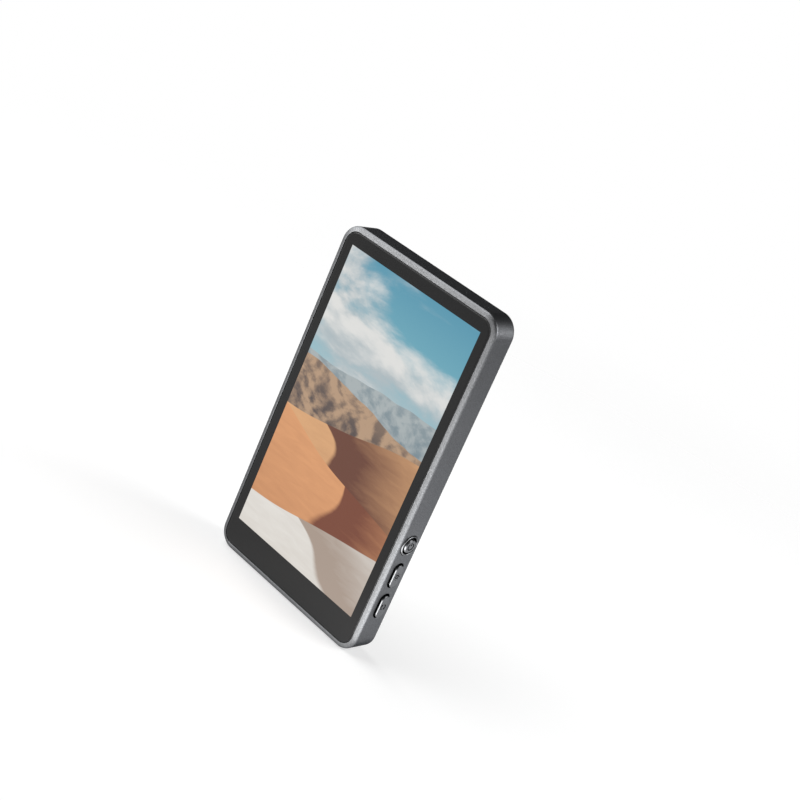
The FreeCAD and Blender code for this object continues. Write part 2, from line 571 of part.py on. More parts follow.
def make_display_flex():
    """A ribbon that drops from the cell's ledge, turns and lies on its connector on the board."""
    foot_level = f"{BOARD_FRONT} + Dims.display_socket_height"
    body = new_piece("display_flex", x="-Dims.flex_offset", z=f"{PANEL_BOTTOM} + Dims.flex_inset")
    profile = new_sketch(body, "side", "profile")
    front, foot = f"-{PANEL_REAR}", f"-({foot_level})"
    bend = f"{foot} - Dims.flex_thickness"
    corners = ((front, "0"), (foot, "0"), (foot, "Dims.flex_lap"), (bend, "Dims.flex_lap"))
    draw_polygon(profile, corners + ((bend, "Dims.flex_thickness"), (front, "Dims.flex_thickness")))
    add_pad(profile, "Dims.flex_width", centred=True)
    height = f"{PANEL_BOTTOM} + Dims.flex_inset + Dims.flex_lap - Dims.display_socket_width / 2"
    make_slab("display_connector", "Dims.display_socket_length", "Dims.display_socket_width",
              "Dims.display_socket_height", "-Dims.flex_offset", BOARD_FRONT, height)


def notched_end(half_width, end, notch_across, notch_up):
    """Corners of a plate's right half where one end has its corner notched out."""
    inner = f"{half_width} - {notch_across}"
    shoulder = f"{end} + {notch_up}"
    return [(inner, end), (inner, shoulder), (half_width, shoulder)]


def both_halves(right):
    """Corners of the right half, followed by the same corners mirrored to the left half."""
    return right + [(f"-({across})", up) for across, up in reversed(right)]


def make_chassis_plate():
    """A plate on the rear of the ledge, notched for the bosses and slotted for the display flex."""
    body = new_piece("chassis_plate", level=CHASSIS_REAR, z=BODY_Z)
    outline = new_sketch(body, "front", "outline")
    half_width = f"({CAVITY_WIDTH} / 2 - Dims.chassis_side_gap)"
    half_height = f"({CAVITY_HEIGHT} / 2 - Dims.chassis_end_gap)"
    notch_across = f"({BOSS_NOTCH} - Dims.chassis_side_gap)"
    notch_up = f"({BOSS_NOTCH} - Dims.chassis_end_gap)"
    low_end = notched_end(half_width, f"-{half_height}", notch_across, notch_up)
    high_end = notched_end(half_width, half_height, notch_across, f"-{notch_up}")
    draw_polygon(outline, both_halves(low_end + high_end[::-1]))
    add_pad(outline, "Dims.chassis_thickness")
    openings = new_sketch(body, "front", "openings")
    for across, height in chassis_screw_places():
        draw_circle(openings, CHASSIS_HOLE, across, f"{height} - {BODY_Z}")
    slot_width = "Dims.flex_width + 2 * Dims.flex_slot_gap"
    slot_height = "Dims.flex_thickness + 2 * Dims.flex_slot_gap"
    slot_rise = f"{PANEL_BOTTOM} + Dims.flex_inset + Dims.flex_thickness / 2 - {BODY_Z}"
    draw_rectangle(openings, slot_width, slot_height, "-Dims.flex_offset", slot_rise)
    add_pocket(openings, "Dims.chassis_thickness", forward=True)


def make_rear_cover():
    """Plastic back: recessed for the pad outside and for the magnets inside, and screwed at its corners."""
    body = new_piece("rear_cover", level="Dims.pad_proud", z=BODY_Z)
    outline = new_sketch(body, "front", "outline")
    width = f"{CAVITY_WIDTH} - 2 * Dims.cover_gap"
    height = f"{CAVITY_HEIGHT} - 2 * Dims.cover_gap"
    draw_rounded_rectangle(outline, width, height, f"{CAVITY_RADIUS} - Dims.cover_gap")
    add_pad(outline, "Dims.cover_thickness")
    pad_seat = new_sketch(body, "front", "pad_seat", up=f"-{BODY_Z}")
    draw_circle(pad_seat, "Dims.pad_diameter + 2 * Dims.pad_gap")
    add_pocket(pad_seat, "Dims.pad_thickness - Dims.pad_proud", forward=True)
    groove = new_sketch(body, "front", "groove", up=f"-{BODY_Z}", out="Dims.cover_thickness")
    draw_circle(groove, "Dims.magnet_outside + 2 * Dims.magnet_gap")
    draw_circle(groove, "Dims.magnet_inside - 2 * Dims.magnet_gap")
    add_pocket(groove, "Dims.magnet_sink")
    holes = new_sketch(body, "front", "holes")
    heads = new_sketch(body, "front", "heads")
    for across, up in boss_places():
        draw_circle(holes, "Dims.cover_screw_diameter + 4 * Dims.screw_gap", across, up)
        draw_circle(heads, "Dims.cover_head_diameter + 4 * Dims.screw_gap", across, up)
    add_pocket(holes, "Dims.cover_thickness", forward=True)
    add_pocket(heads, "Dims.cover_head_sink", forward=True)


def make_rear_pad():
    """The soft disc that a phone's back lies against; its face holds the part's origin."""
    body = new_piece("rear_pad")
    outline = new_sketch(body, "front", "outline")
    draw_circle(outline, "Dims.pad_diameter")
    disc = add_pad(outline, "Dims.pad_thickness")
    dress_edges(disc, "Fillet", "Radius", "Dims.pad_round", lies_in("Y", 0))


def make_magnets():
    """A ring of arc magnets, slit apart evenly, and the steel ring behind them."""
    body = new_piece("ring_magnets", level=MAGNET_REAR)
    outline = new_sketch(body, "front", "outline")
    draw_circle(outline, "Dims.magnet_outside")
    draw_circle(outline, "Dims.magnet_inside")
    add_pad(outline, "Dims.magnet_thickness")
    slit = new_sketch(body, "front", "slit", up="(Dims.magnet_outside + Dims.magnet_inside) / 4")
    band = "(Dims.magnet_outside - Dims.magnet_inside) / 2"
    draw_rectangle(slit, "Dims.magnet_slit", f"{band} + Dims.cut_overrun")
    cut = add_pocket(slit, "Dims.magnet_thickness", forward=True)
    pattern = body.newObject("PartDesign::PolarPattern", "magnet_pattern")
    pattern.Originals = [cut]
    axes = {feature.Role: feature for feature in body.Origin.OriginFeatures}
    pattern.Axis = (axes["Y_Axis"], [""])
    pattern.Angle = 360
    pattern.Occurrences = MAGNET_COUNT
    body.Tip = pattern
    doc.recompute()

    shield = new_piece("magnet_shield", level=SHIELD_REAR)
    outline = new_sketch(shield, "front", "outline")
    draw_circle(outline, "Dims.magnet_outside")
    draw_circle(outline, "Dims.magnet_inside")
    add_pad(outline, "Dims.shield_thickness")


def make_battery():
    """Pouch cell on its tape, with a flat lead that reaches its connector on the board."""
    tape_level = f"{CHASSIS_REAR} - Dims.battery_tape_thickness"
    body = new_piece("battery", level=f"{tape_level} - Dims.battery_thickness", z="Dims.battery_rise")
    outline = new_sketch(body, "front", "outline")
    draw_rounded_rectangle(outline, "Dims.battery_width", "Dims.battery_height", "Dims.battery_corner")
    pouch = add_pad(outline, "Dims.battery_thickness")
    dress_edges(pouch, "Fillet", "Radius", "Dims.battery_round", lies_in("Y", 0))
    make_slab("battery_tape", "Dims.battery_width - 2 * Dims.battery_tape_inset",
              "Dims.battery_height - 2 * Dims.battery_tape_inset", "Dims.battery_tape_thickness",
              level=tape_level, z="Dims.battery_rise")
    socket_z = f"({BOARD_TOP} - Dims.battery_socket_drop)"
    make_slab("battery_connector", "Dims.battery_socket_length", "Dims.battery_socket_width",
              "Dims.battery_socket_height", "Dims.battery_socket_offset", BOARD_FRONT, socket_z)
    lead_foot = f"({socket_z} - Dims.battery_socket_width / 2)"
    make_slab("battery_lead", "Dims.battery_lead_width", f"{BATTERY_FOOT} - {lead_foot}",
              "Dims.flex_thickness", "Dims.battery_socket_offset",
              f"{BOARD_FRONT} + Dims.battery_socket_height", f"({BATTERY_FOOT} + {lead_foot}) / 2")


def standoff_places():
    """The four fixing points of the board."""
    heights = (STANDOFF_LOW_Z, STANDOFF_HIGH_Z)
    return [(f"{side} * {STANDOFF_X}", height) for side in (-1, 1) for height in heights]


def make_main_board():
    """Circuit board behind the picture's lower half, notched for the two lower bosses."""
    body = new_piece("main_board", level=BOARD_REAR)
    outline = new_sketch(body, "front", "outline")
    half_width = f"({BOARD_WIDTH} / 2)"
    notch_across = f"({BOSS_NOTCH} - Dims.board_side_gap)"
    notch_up = f"({BOSS_NOTCH} - Dims.board_end_gap)"
    low_end = notched_end(half_width, BOARD_BOTTOM, notch_across, notch_up)
    draw_polygon(outline, both_halves(low_end + [(half_width, BOARD_TOP)]))
    add_pad(outline, "Dims.board_thickness")
    holes = new_sketch(body, "front", "holes")
    for across, up in standoff_places():
        draw_circle(holes, BOARD_HOLE, across, up)
    add_pocket(holes, "Dims.board_thickness", forward=True)

    spacers = new_piece("board_standoffs", level=BOARD_FRONT)
    outline = new_sketch(spacers, "front", "outline")
    for across, up in standoff_places():
        draw_circle(outline, "Dims.standoff_diameter", across, up)
    add_pad(outline, f"{CHASSIS_REAR} - {BOARD_FRONT}")
    threads = new_sketch(spacers, "front", "threads")
    for across, up in standoff_places():
        draw_circle(threads, BOARD_HOLE, across, up)
    add_pocket(threads, f"{CHASSIS_REAR} - {BOARD_FRONT}", forward=True)


def make_screws(label, places, seat_level, kind):
    """A group of like screws: heads behind their seat and shanks in front of it."""
    body = new_piece(label, level=seat_level)
    heads = new_sketch(body, "front", "heads")
    shanks = new_sketch(body, "front", "shanks")
    for across, up in places:
        draw_circle(heads, f"Dims.{kind}_head_diameter", across, up)
        draw_circle(shanks, f"Dims.{kind}_screw_diameter", across, up)
    add_pad(heads, f"Dims.{kind}_head_height", backward=True)
    add_pad(shanks, f"Dims.{kind}_screw_length")
    return body


def make_fasteners():
    """Screws of the rear cover, the board and the chassis plate."""
    corners = [(across, f"{BODY_Z} + {up}") for across, up in boss_places()]
    seat = "Dims.pad_proud + Dims.cover_head_sink"
    body = make_screws("cover_screws", corners, seat, "cover")
    drives = new_sketch(body, "front", "drives", out="-Dims.cover_head_height")
    reach = "Dims.drive_width / sqrt(3)"
    turns = [f"{360 * step / DRIVE_SIDES} deg" for step in range(DRIVE_SIDES)]
    for across, up in corners:
        ends = [(f"{across} + {reach} * cos({turn})", f"{up} + {reach} * sin({turn})") for turn in turns]
        draw_polygon(drives, ends)
    add_pocket(drives, "Dims.drive_depth", forward=True)
    make_screws("board_screws", standoff_places(), BOARD_REAR, "board")
    make_screws("chassis_screws", chassis_screw_places(), CHASSIS_REAR, "chassis")


def make_board_parts():
    """What stands on the board's front face: can, radio module, charging chip and inductor."""
    make_slab("shield_can", "Dims.can_width", "Dims.can_height", "Dims.can_rise",
              level=BOARD_FRONT, z=f"{BOARD_TOP} - Dims.can_drop")
    make_slab("wireless_module", "Dims.module_width", "Dims.module_width", "Dims.module_rise",
              "-Dims.module_offset", BOARD_FRONT, f"{BOARD_TOP} - Dims.module_drop")
    chip_z = f"{BOARD_BOTTOM} + Dims.charger_lift"
    make_slab("charge_chip", "Dims.charger_width", "Dims.charger_width", "Dims.charger_rise",
              "Dims.charger_offset", BOARD_FRONT, chip_z)
    coil = new_piece("power_inductor", "Dims.coil_offset", BOARD_FRONT, chip_z)
    outline = new_sketch(coil, "front", "outline")
    draw_rounded_rectangle(outline, "Dims.coil_width", "Dims.coil_width", "Dims.coil_round")
    add_pad(outline, "Dims.coil_rise")


def make_antenna():
    """Radio strip stuck inside the rear cover, and the lead that climbs from it on to the module."""
    across = f"(-{CAVITY_WIDTH} / 2 + Dims.antenna_inset)"
    make_slab("antenna", "Dims.antenna_width", "Dims.antenna_height", "Dims.antenna_thickness",
              across, COVER_FRONT, "Dims.antenna_rise")
    low = f"({COVER_FRONT} + Dims.antenna_thickness + Dims.lead_gap + Dims.lead_diameter / 2)"
    high = f"({BOARD_FRONT} + Dims.module_rise + Dims.lead_gap + Dims.lead_diameter / 2)"
    start = "(Dims.antenna_rise - Dims.antenna_height / 2 + Dims.lead_lap)"
    landing = f"({BOARD_TOP} - Dims.module_drop + Dims.module_width / 2 + Dims.lead_diameter)"
    lead = doc.addObject("Part::Feature", "antenna_lead")
    lead.Label = "antenna_lead"
    corners = [FreeCAD.Vector(number(across), -number(level), number(height)) for level, height in (
        (low, start),
        (low, f"{landing} + Dims.lead_climb"),
        (high, landing),
        (high, f"{landing} - Dims.lead_lap"),
    )]
    spine = rounded_path(corners, number("Dims.lead_bend"))
    circle = Part.Circle(corners[0], corners[1] - corners[0], number("Dims.lead_diameter") / 2)
    lead.Shape = spine.makePipeShell([Part.Wire(circle.toShape())], True, True)
    lead.Placement = FreeCAD.Placement()
    pieces.append(lead)


def rounded_path(corners, radius):
    """Straight runs through the corners, joined by tangent arcs of one radius."""
    edges = []
    here = corners[0]
    for before, corner, after in zip(corners, corners[1:], corners[2:]):
        inward = (before - corner).normalize()
        onward = (after - corner).normalize()
        half_angle = inward.getAngle(onward) / 2
        middle = (inward + onward).normalize()
        setback = radius / math.tan(half_angle)
        centre = corner + middle * (radius / math.sin(half_angle))
        first = corner + inward * setback
        last = corner + onward * setback
        edges.append(Part.LineSegment(here, first).toShape())
        edges.append(Part.Arc(first, centre - middle * radius, last).toShape())
        here = last
    edges.append(Part.LineSegment(here, corners[-1]).toShape())
    return Part.Wire(edges)


def make_usb_socket():
    """Charging socket on the board, its mouth in the frame's bottom: a shell and the tongue inside it."""
    shell = new_piece("usb_shell", level=USB_LEVEL, z=USB_MOUTH)
    outline = new_sketch(shell, "floor", "outline")
    draw_oblong(outline, "Dims.usb_width", "Dims.usb_height", upright=False)
    add_pad(outline, "Dims.usb_length")
    inside = new_sketch(shell, "floor", "inside")
    inner_width = "Dims.usb_width - 2 * Dims.usb_wall"
    inner_height = "Dims.usb_height - 2 * Dims.usb_wall"
    draw_oblong(inside, inner_width, inner_height, upright=False)
    add_pocket(inside, "Dims.usb_length", forward=True)

    tongue = new_piece("usb_tongue", level=USB_LEVEL, z=f"{USB_MOUTH} + Dims.usb_length")
    base = new_sketch(tongue, "floor", "base")
    draw_oblong(base, inner_width, inner_height, upright=False)
    add_pad(base, "Dims.usb_base", backward=True)
    blade = new_sketch(tongue, "floor", "blade", out="-Dims.usb_base")
    draw_rectangle(blade, "Dims.tongue_width", "Dims.tongue_thickness")
    add_pad(blade, "Dims.tongue_length", backward=True)


def make_button(label, height, round_cap):
    """A cap with a bevelled head in the wall, a narrow neck, and a flange that keeps it in."""
    body = new_piece(label, level=BUTTON_LEVEL, z=height)
    head = new_sketch(body, "side", "head", out=HEAD_IN)
    if round_cap:
        opening = POWER_HOLE
        draw_circle(head, "Dims.power_cap_diameter")
    else:
        opening = OBLONG_HOLE_LENGTH
        draw_oblong(head, "Dims.oblong_cap_length", "Dims.oblong_cap_width")
    cap = add_pad(head, f"{SIDE_OUT} + Dims.button_proud - {HEAD_IN}")
    outer_edges = lies_in("X", number(f"{SIDE_OUT} + Dims.button_proud"))
    dress_edges(cap, "Chamfer", "Size", "Dims.button_bevel", outer_edges)
    neck = new_sketch(body, "side", "neck", out=HEAD_IN)
    draw_rectangle(neck, "Dims.neck_thickness", "Dims.neck_length")
    add_pad(neck, f"{HEAD_IN} - {FLANGE_OUT}", backward=True)
    flange = new_sketch(body, "side", "flange", out=FLANGE_OUT)
    draw_rectangle(flange, "Dims.neck_thickness", f"{opening} + 2 * Dims.flange_reach")
    add_pad(flange, "Dims.flange_thickness", backward=True)


def make_switch(name, height):
    """A side-push switch on the board: a body with a bore, and the plunger that the cap presses."""
    body = new_piece(f"{name}_switch_body", SWITCH_FACE, BUTTON_LEVEL, height)
    middle = f"{BUTTON_LEVEL} - {BOARD_FRONT} - Dims.switch_height / 2"
    outline = new_sketch(body, "side", "outline", middle)
    draw_rectangle(outline, "Dims.switch_height", "Dims.switch_length")
    add_pad(outline, "Dims.switch_width", backward=True)
    bore = new_sketch(body, "side", "bore")
    draw_circle(bore, "Dims.plunger_diameter + 2 * Dims.plunger_gap")
    add_pocket(bore, "Dims.plunger_grip + Dims.button_travel + Dims.bore_spare")

    plunger = new_piece(f"{name}_switch_plunger", FLANGE_IN, BUTTON_LEVEL, height)
    outline = new_sketch(plunger, "side", "outline")
    draw_circle(outline, "Dims.plunger_diameter")
    add_pad(outline, f"{FLANGE_IN} - {SWITCH_FACE} + Dims.plunger_grip", backward=True)


def make_power_ring():
    """Raised trim ring, seated in the frame's side round the power button."""
    body = new_piece("power_button_ring", f"{SIDE_OUT} - Dims.ring_sink", BUTTON_LEVEL, POWER_Z)
    outline = new_sketch(body, "side", "outline")
    draw_circle(outline, RING_OUTSIDE)
    draw_circle(outline, POWER_HOLE)
    ring = add_pad(outline, "Dims.ring_sink + Dims.ring_proud")
    outer_edges = lies_in("X", number("Dims.ring_sink + Dims.ring_proud"))
    dress_edges(ring, "Chamfer", "Size", "Dims.ring_bevel", outer_edges)


def check_document():
    """Stop if any object failed, any shape is unsound, or any cut removed nothing."""
    for thing in doc.Objects:
        if "Invalid" in thing.State or "Error" in thing.State or not thing.isValid():
            raise RuntimeError(f"{thing.Label} failed: {thing.getStatusString()}")
        if thing.TypeId == "PartDesign::Pocket":
            if thing.Shape.Volume >= thing.BaseFeature.Shape.Volume:
                raise RuntimeError(f"{thing.Label} cuts nothing")
    for piece in pieces:
        if piece.Shape.isNull() or not piece.Shape.isValid() or not piece.Shape.Solids:
            raise RuntimeError(f"{piece.Label} has no sound solid")


BUTTONS = (("power", POWER_Z, True), ("brightness", BRIGHTNESS_Z, False), ("rotate", ROTATE_Z, False))
make_side_frame()
make_cover_glass()
make_glass_adhesive()
make_display()
make_display_flex()
make_chassis_plate()
make_rear_cover()
make_rear_pad()
make_magnets()
make_battery()
make_main_board()
make_fasteners()
make_board_parts()
make_antenna()
make_usb_socket()
make_power_ring()
for button_name, button_z, is_round in BUTTONS:
    make_button(f"{button_name}_button", button_z, is_round)
    make_switch(button_name, button_z)
doc.recompute()
check_document()
os.makedirs("parts", exist_ok=True)
for piece in pieces:
    piece.Shape.exportStep(f"parts/{piece.Label}.step")
    box = piece.Shape.optimalBoundingBox()
    print(f"{piece.Label}: {len(piece.Shape.Solids)} solids, {piece.Shape.Volume:.2f} mm3,"
          f" {box.XLength:.2f} x {box.YLength:.2f} x {box.ZLength:.2f} mm")
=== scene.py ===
# %% [markdown]
# # A selfie monitor in a photo studio
# The object is a slim screen whose back holds on by magnets. The packed model is the fixed frame:
# it holds every piece at its real size, in metres, upright along Z with the screen facing -Y. This
# lesson dresses it. The shapes that catch the light are made again as fine numpy surfaces, and
# every other piece keeps its packed shape and gets a finish made of shader nodes.

# %% Load the fixed frame
import math
import bmesh
import bpy
import numpy as np
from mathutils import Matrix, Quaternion, Vector


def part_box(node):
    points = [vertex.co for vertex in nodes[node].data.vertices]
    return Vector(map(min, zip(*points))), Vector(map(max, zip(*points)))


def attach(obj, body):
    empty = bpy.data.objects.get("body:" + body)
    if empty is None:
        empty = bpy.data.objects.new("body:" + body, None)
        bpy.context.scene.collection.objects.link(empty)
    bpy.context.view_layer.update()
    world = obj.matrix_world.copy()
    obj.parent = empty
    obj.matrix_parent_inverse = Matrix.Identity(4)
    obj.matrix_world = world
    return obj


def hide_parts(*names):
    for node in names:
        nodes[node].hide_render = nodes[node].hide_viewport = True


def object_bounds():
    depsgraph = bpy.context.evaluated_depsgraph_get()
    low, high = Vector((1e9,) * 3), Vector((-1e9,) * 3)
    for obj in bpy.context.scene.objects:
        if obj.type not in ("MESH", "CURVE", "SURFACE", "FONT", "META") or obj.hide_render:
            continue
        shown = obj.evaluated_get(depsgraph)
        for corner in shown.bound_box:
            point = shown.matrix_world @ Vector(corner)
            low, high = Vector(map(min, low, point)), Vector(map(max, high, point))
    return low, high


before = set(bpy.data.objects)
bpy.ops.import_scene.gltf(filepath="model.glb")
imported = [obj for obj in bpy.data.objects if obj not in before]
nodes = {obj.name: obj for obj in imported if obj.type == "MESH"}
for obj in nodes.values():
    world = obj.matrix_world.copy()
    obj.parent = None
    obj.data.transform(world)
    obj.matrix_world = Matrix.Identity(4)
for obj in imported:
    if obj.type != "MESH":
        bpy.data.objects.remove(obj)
cad_low, cad_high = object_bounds()
print("packed nodes:", len(nodes), "box:", [round(side, 4) for side in cad_high - cad_low])

# %% [markdown]
# ## The camera
# The photograph looks down on the screen from the button side, with the camera rolled so that the
# monitor leans. A camera is three facts: where the eye is, what it looks at, and how far it rolls.
# `to_track_quat` turns the first two into a rotation, and a turn about the lens adds the roll.

# %% Camera
EYE = Vector((0.26484, -0.36742, 0.14914))
AIM = Vector((0.0, 0.0068, -0.0091))
ROLL = math.radians(23.92)
LENS_MM = 69.8
SENSOR_MM = 36.0

lens = bpy.data.cameras.new("studio_camera")
lens.lens = LENS_MM
lens.sensor_width = SENSOR_MM
camera = bpy.data.objects.new("studio_camera", lens)
camera.location = EYE
camera.rotation_mode = "QUATERNION"
camera.rotation_quaternion = (AIM - EYE).to_track_quat("-Z", "Y") @ Quaternion((0, 0, 1), ROLL)
bpy.context.scene.collection.objects.link(camera)
bpy.context.scene.camera = camera
bpy.context.scene.view_settings.view_transform = "Standard"
print("camera", round((AIM - EYE).length, 3), "m away")

# %% [markdown]
# ## The studio
# Metal shows what stands round it, so the room matters as much as the lamps. The room here is a
# white wall that runs up a little way above the horizon and then gives way to a dim ceiling. Behind
# the screen's left shoulder the wall is lower, as if a black card stood there, because that is the
# direction which the frame's top mirrors, and the card keeps it dark. Three soft boxes light
# the object: a wide key high on the left, a strip that lies on the floor in front of the button
# side, and one at the right rear. Only reflections see the strip, which draws the bright band
# along the rim.

# %% Room and lamps
WALL_TOP = 0.205
CEILING_START = 0.24
CEILING_GREY = 0.06
CARD_SIDE = (-0.577, 0.817, 0.0)
CARD_EDGE, CARD_FULL = 0.94, 0.975
CARD_DROP = 0.16
KEY = {"place": (-0.56, -0.20, 0.46), "wide": 0.95, "tall": 0.95, "power": 8.0}
STRIP = {"place": (0.101, -0.167, -0.0805), "wide": 0.10, "tall": 0.312, "power": 0.28}
STRIP["lying"] = math.radians(6.7)
BACK = {"place": (0.52, 0.24, 0.31), "wide": 0.40, "tall": 0.40, "power": 3.0}

world = bpy.data.worlds.new("studio_room")
world.use_nodes = True
bpy.context.scene.world = world
room = world.node_tree
direction = room.nodes.new("ShaderNodeTexCoord")
axes = room.nodes.new("ShaderNodeSeparateXYZ")
rise = room.nodes.new("ShaderNodeValToRGB")
rise.color_ramp.elements[0].position = WALL_TOP
rise.color_ramp.elements[0].color = (1, 1, 1, 1)
rise.color_ramp.elements[1].position = CEILING_START
rise.color_ramp.elements[1].color = (CEILING_GREY, CEILING_GREY, CEILING_GREY, 1)
towards_card = room.nodes.new("ShaderNodeVectorMath")
towards_card.operation = "DOT_PRODUCT"
towards_card.inputs[1].default_value = CARD_SIDE
card = room.nodes.new("ShaderNodeMapRange")
card.interpolation_type = "SMOOTHSTEP"
for socket, value in zip(card.inputs[1:5], (CARD_EDGE, CARD_FULL, 0.0, CARD_DROP)):
    socket.default_value = value
height = room.nodes.new("ShaderNodeMath")
room.links.new(direction.outputs["Generated"], axes.inputs[0])
room.links.new(direction.outputs["Generated"], towards_card.inputs[0])
room.links.new(towards_card.outputs["Value"], card.inputs[0])
room.links.new(axes.outputs["Z"], height.inputs[0])
room.links.new(card.outputs[0], height.inputs[1])
room.links.new(height.outputs[0], rise.inputs["Fac"])
room.links.new(rise.outputs["Color"], room.nodes["Background"].inputs["Color"])


def soft_box(name, place, wide, tall, power, lying=None):
    """A rectangular area lamp that faces the middle of the monitor.

    A lying lamp faces up instead, turned by an angle about Z, and only reflections see it.
    """
    lamp = bpy.data.lights.new(name, "AREA")
    lamp.shape = "RECTANGLE"
    lamp.size = wide
    lamp.size_y = tall
    lamp.energy = power
    stand = bpy.data.objects.new(name, lamp)
    stand.visible_camera = False
    stand.visible_diffuse = lying is None
    stand.location = place
    stand.rotation_mode = "QUATERNION"
    if lying is None:
        facing = (cad_low + cad_high) / 2 - Vector(place)
        stand.rotation_quaternion = facing.to_track_quat("-Z", "Y")
    else:
        stand.rotation_quaternion = Quaternion((0, 0, 1), lying) @ Quaternion((1, 0, 0), math.pi)
    bpy.context.scene.collection.objects.link(stand)


for lamp_name, lamp_facts in (("key_box", KEY), ("strip_box", STRIP), ("back_box", BACK)):
    soft_box(lamp_name, **lamp_facts)

# %% [markdown]
# ## Tools for surfaces
# Every new piece is a grid of points worked out by numpy, either a profile carried round an outline
# or rings stacked along an axis. A few tools are enough: one numbers the quads of a grid, one names
# the two rows that close it, one turns rings about an axis, and one makes points and quads into
# a piece, closes its seams, and shades it smooth up to a crease angle.

# %% Grid and piece tools
WELD = 1e-6
CREASE = math.radians(38)


def grid_quads(rows, columns, closed_rows=False):
    """Quads of a grid numbered row by row, whose columns run round and meet.

    Quad (i, j) has the corners (i, j), (i, j + 1), (i + 1, j + 1) and (i + 1, j).
    """
    bands = rows if closed_rows else rows - 1
    i, j = np.meshgrid(np.arange(bands), np.arange(columns), indexing="ij")
    after, below = (j + 1) % columns, (i + 1) % rows
    quad = ((i, j), (i, after), (below, after), (below, j))
    return np.stack([down * columns + along for down, along in quad], -1)


def end_caps(rows, columns):
    """The first and the last row of a grid, as the two flat faces that close it."""
    first = np.arange(columns)
    return first, first + (rows - 1) * columns


def turned(radius, level, steps):
    """Rings about an axis: their levels, and radius cos a and radius sin a for a full turn of a."""
    turn = np.linspace(0, 2 * np.pi, steps, endpoint=False)
    across, along = np.outer(radius, np.cos(turn)), np.outer(radius, np.sin(turn))
    return np.broadcast_to(np.reshape(level, (-1, 1)), across.shape), across, along


def make_piece(name, parts, body, finish, tone=None):
    """One mesh from parts, each (points, quads, caps): its seams welded, its faces turned outwards.

    A tone is one value for each point, kept as an attribute that the finish can read.
    """
    points, faces, start = [], [], 0
    for part_points, quads, caps in parts:
        flat = np.asarray(part_points, float).reshape(-1, 3)
        points.append(flat)
        faces += (quads.reshape(-1, 4) + start).tolist()
        faces += [(np.asarray(cap) + start).tolist() for cap in caps]
        start += len(flat)
    mesh = bpy.data.meshes.new(name)
    mesh.from_pydata(np.concatenate(points).tolist(), [], faces)
    if tone is not None:
        layer = mesh.attributes.new("tone", "FLOAT", "POINT")
        layer.data.foreach_set("value", np.asarray(tone, np.float32).ravel())
    shape = bmesh.new()
    shape.from_mesh(mesh)
    bmesh.ops.remove_doubles(shape, verts=shape.verts, dist=WELD)
    bmesh.ops.recalc_face_normals(shape, faces=shape.faces)
    shape.to_mesh(mesh)
    open_edges = sum(not edge.is_manifold for edge in shape.edges)
    shape.free()
    mesh.polygons.foreach_set("use_smooth", np.ones(len(mesh.polygons), bool))
    mesh.set_sharp_from_angle(angle=CREASE)
    mesh.materials.append(finish)
    piece = bpy.data.objects.new(name, mesh)
    bpy.context.scene.collection.objects.link(piece)
    even = piece.modifiers.new("even_flats", "WEIGHTED_NORMAL")
    even.keep_sharp = True
    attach(piece, body)
    print(name, len(mesh.polygons), "faces,", open_edges, "open edges")
    return piece


print("a closed band of 4 points has quads", grid_quads(2, 4).reshape(-1, 4).tolist())

# %% [markdown]
# ## Tools for finishes
# A finish is a small tree of shader nodes. This helper adds one node per call and joins it to what
# feeds it, so a finish below reads like a recipe. All patterns are placed by Object coordinates,
# in metres, so a grain of a quarter of a millimetre has the scale 4000.


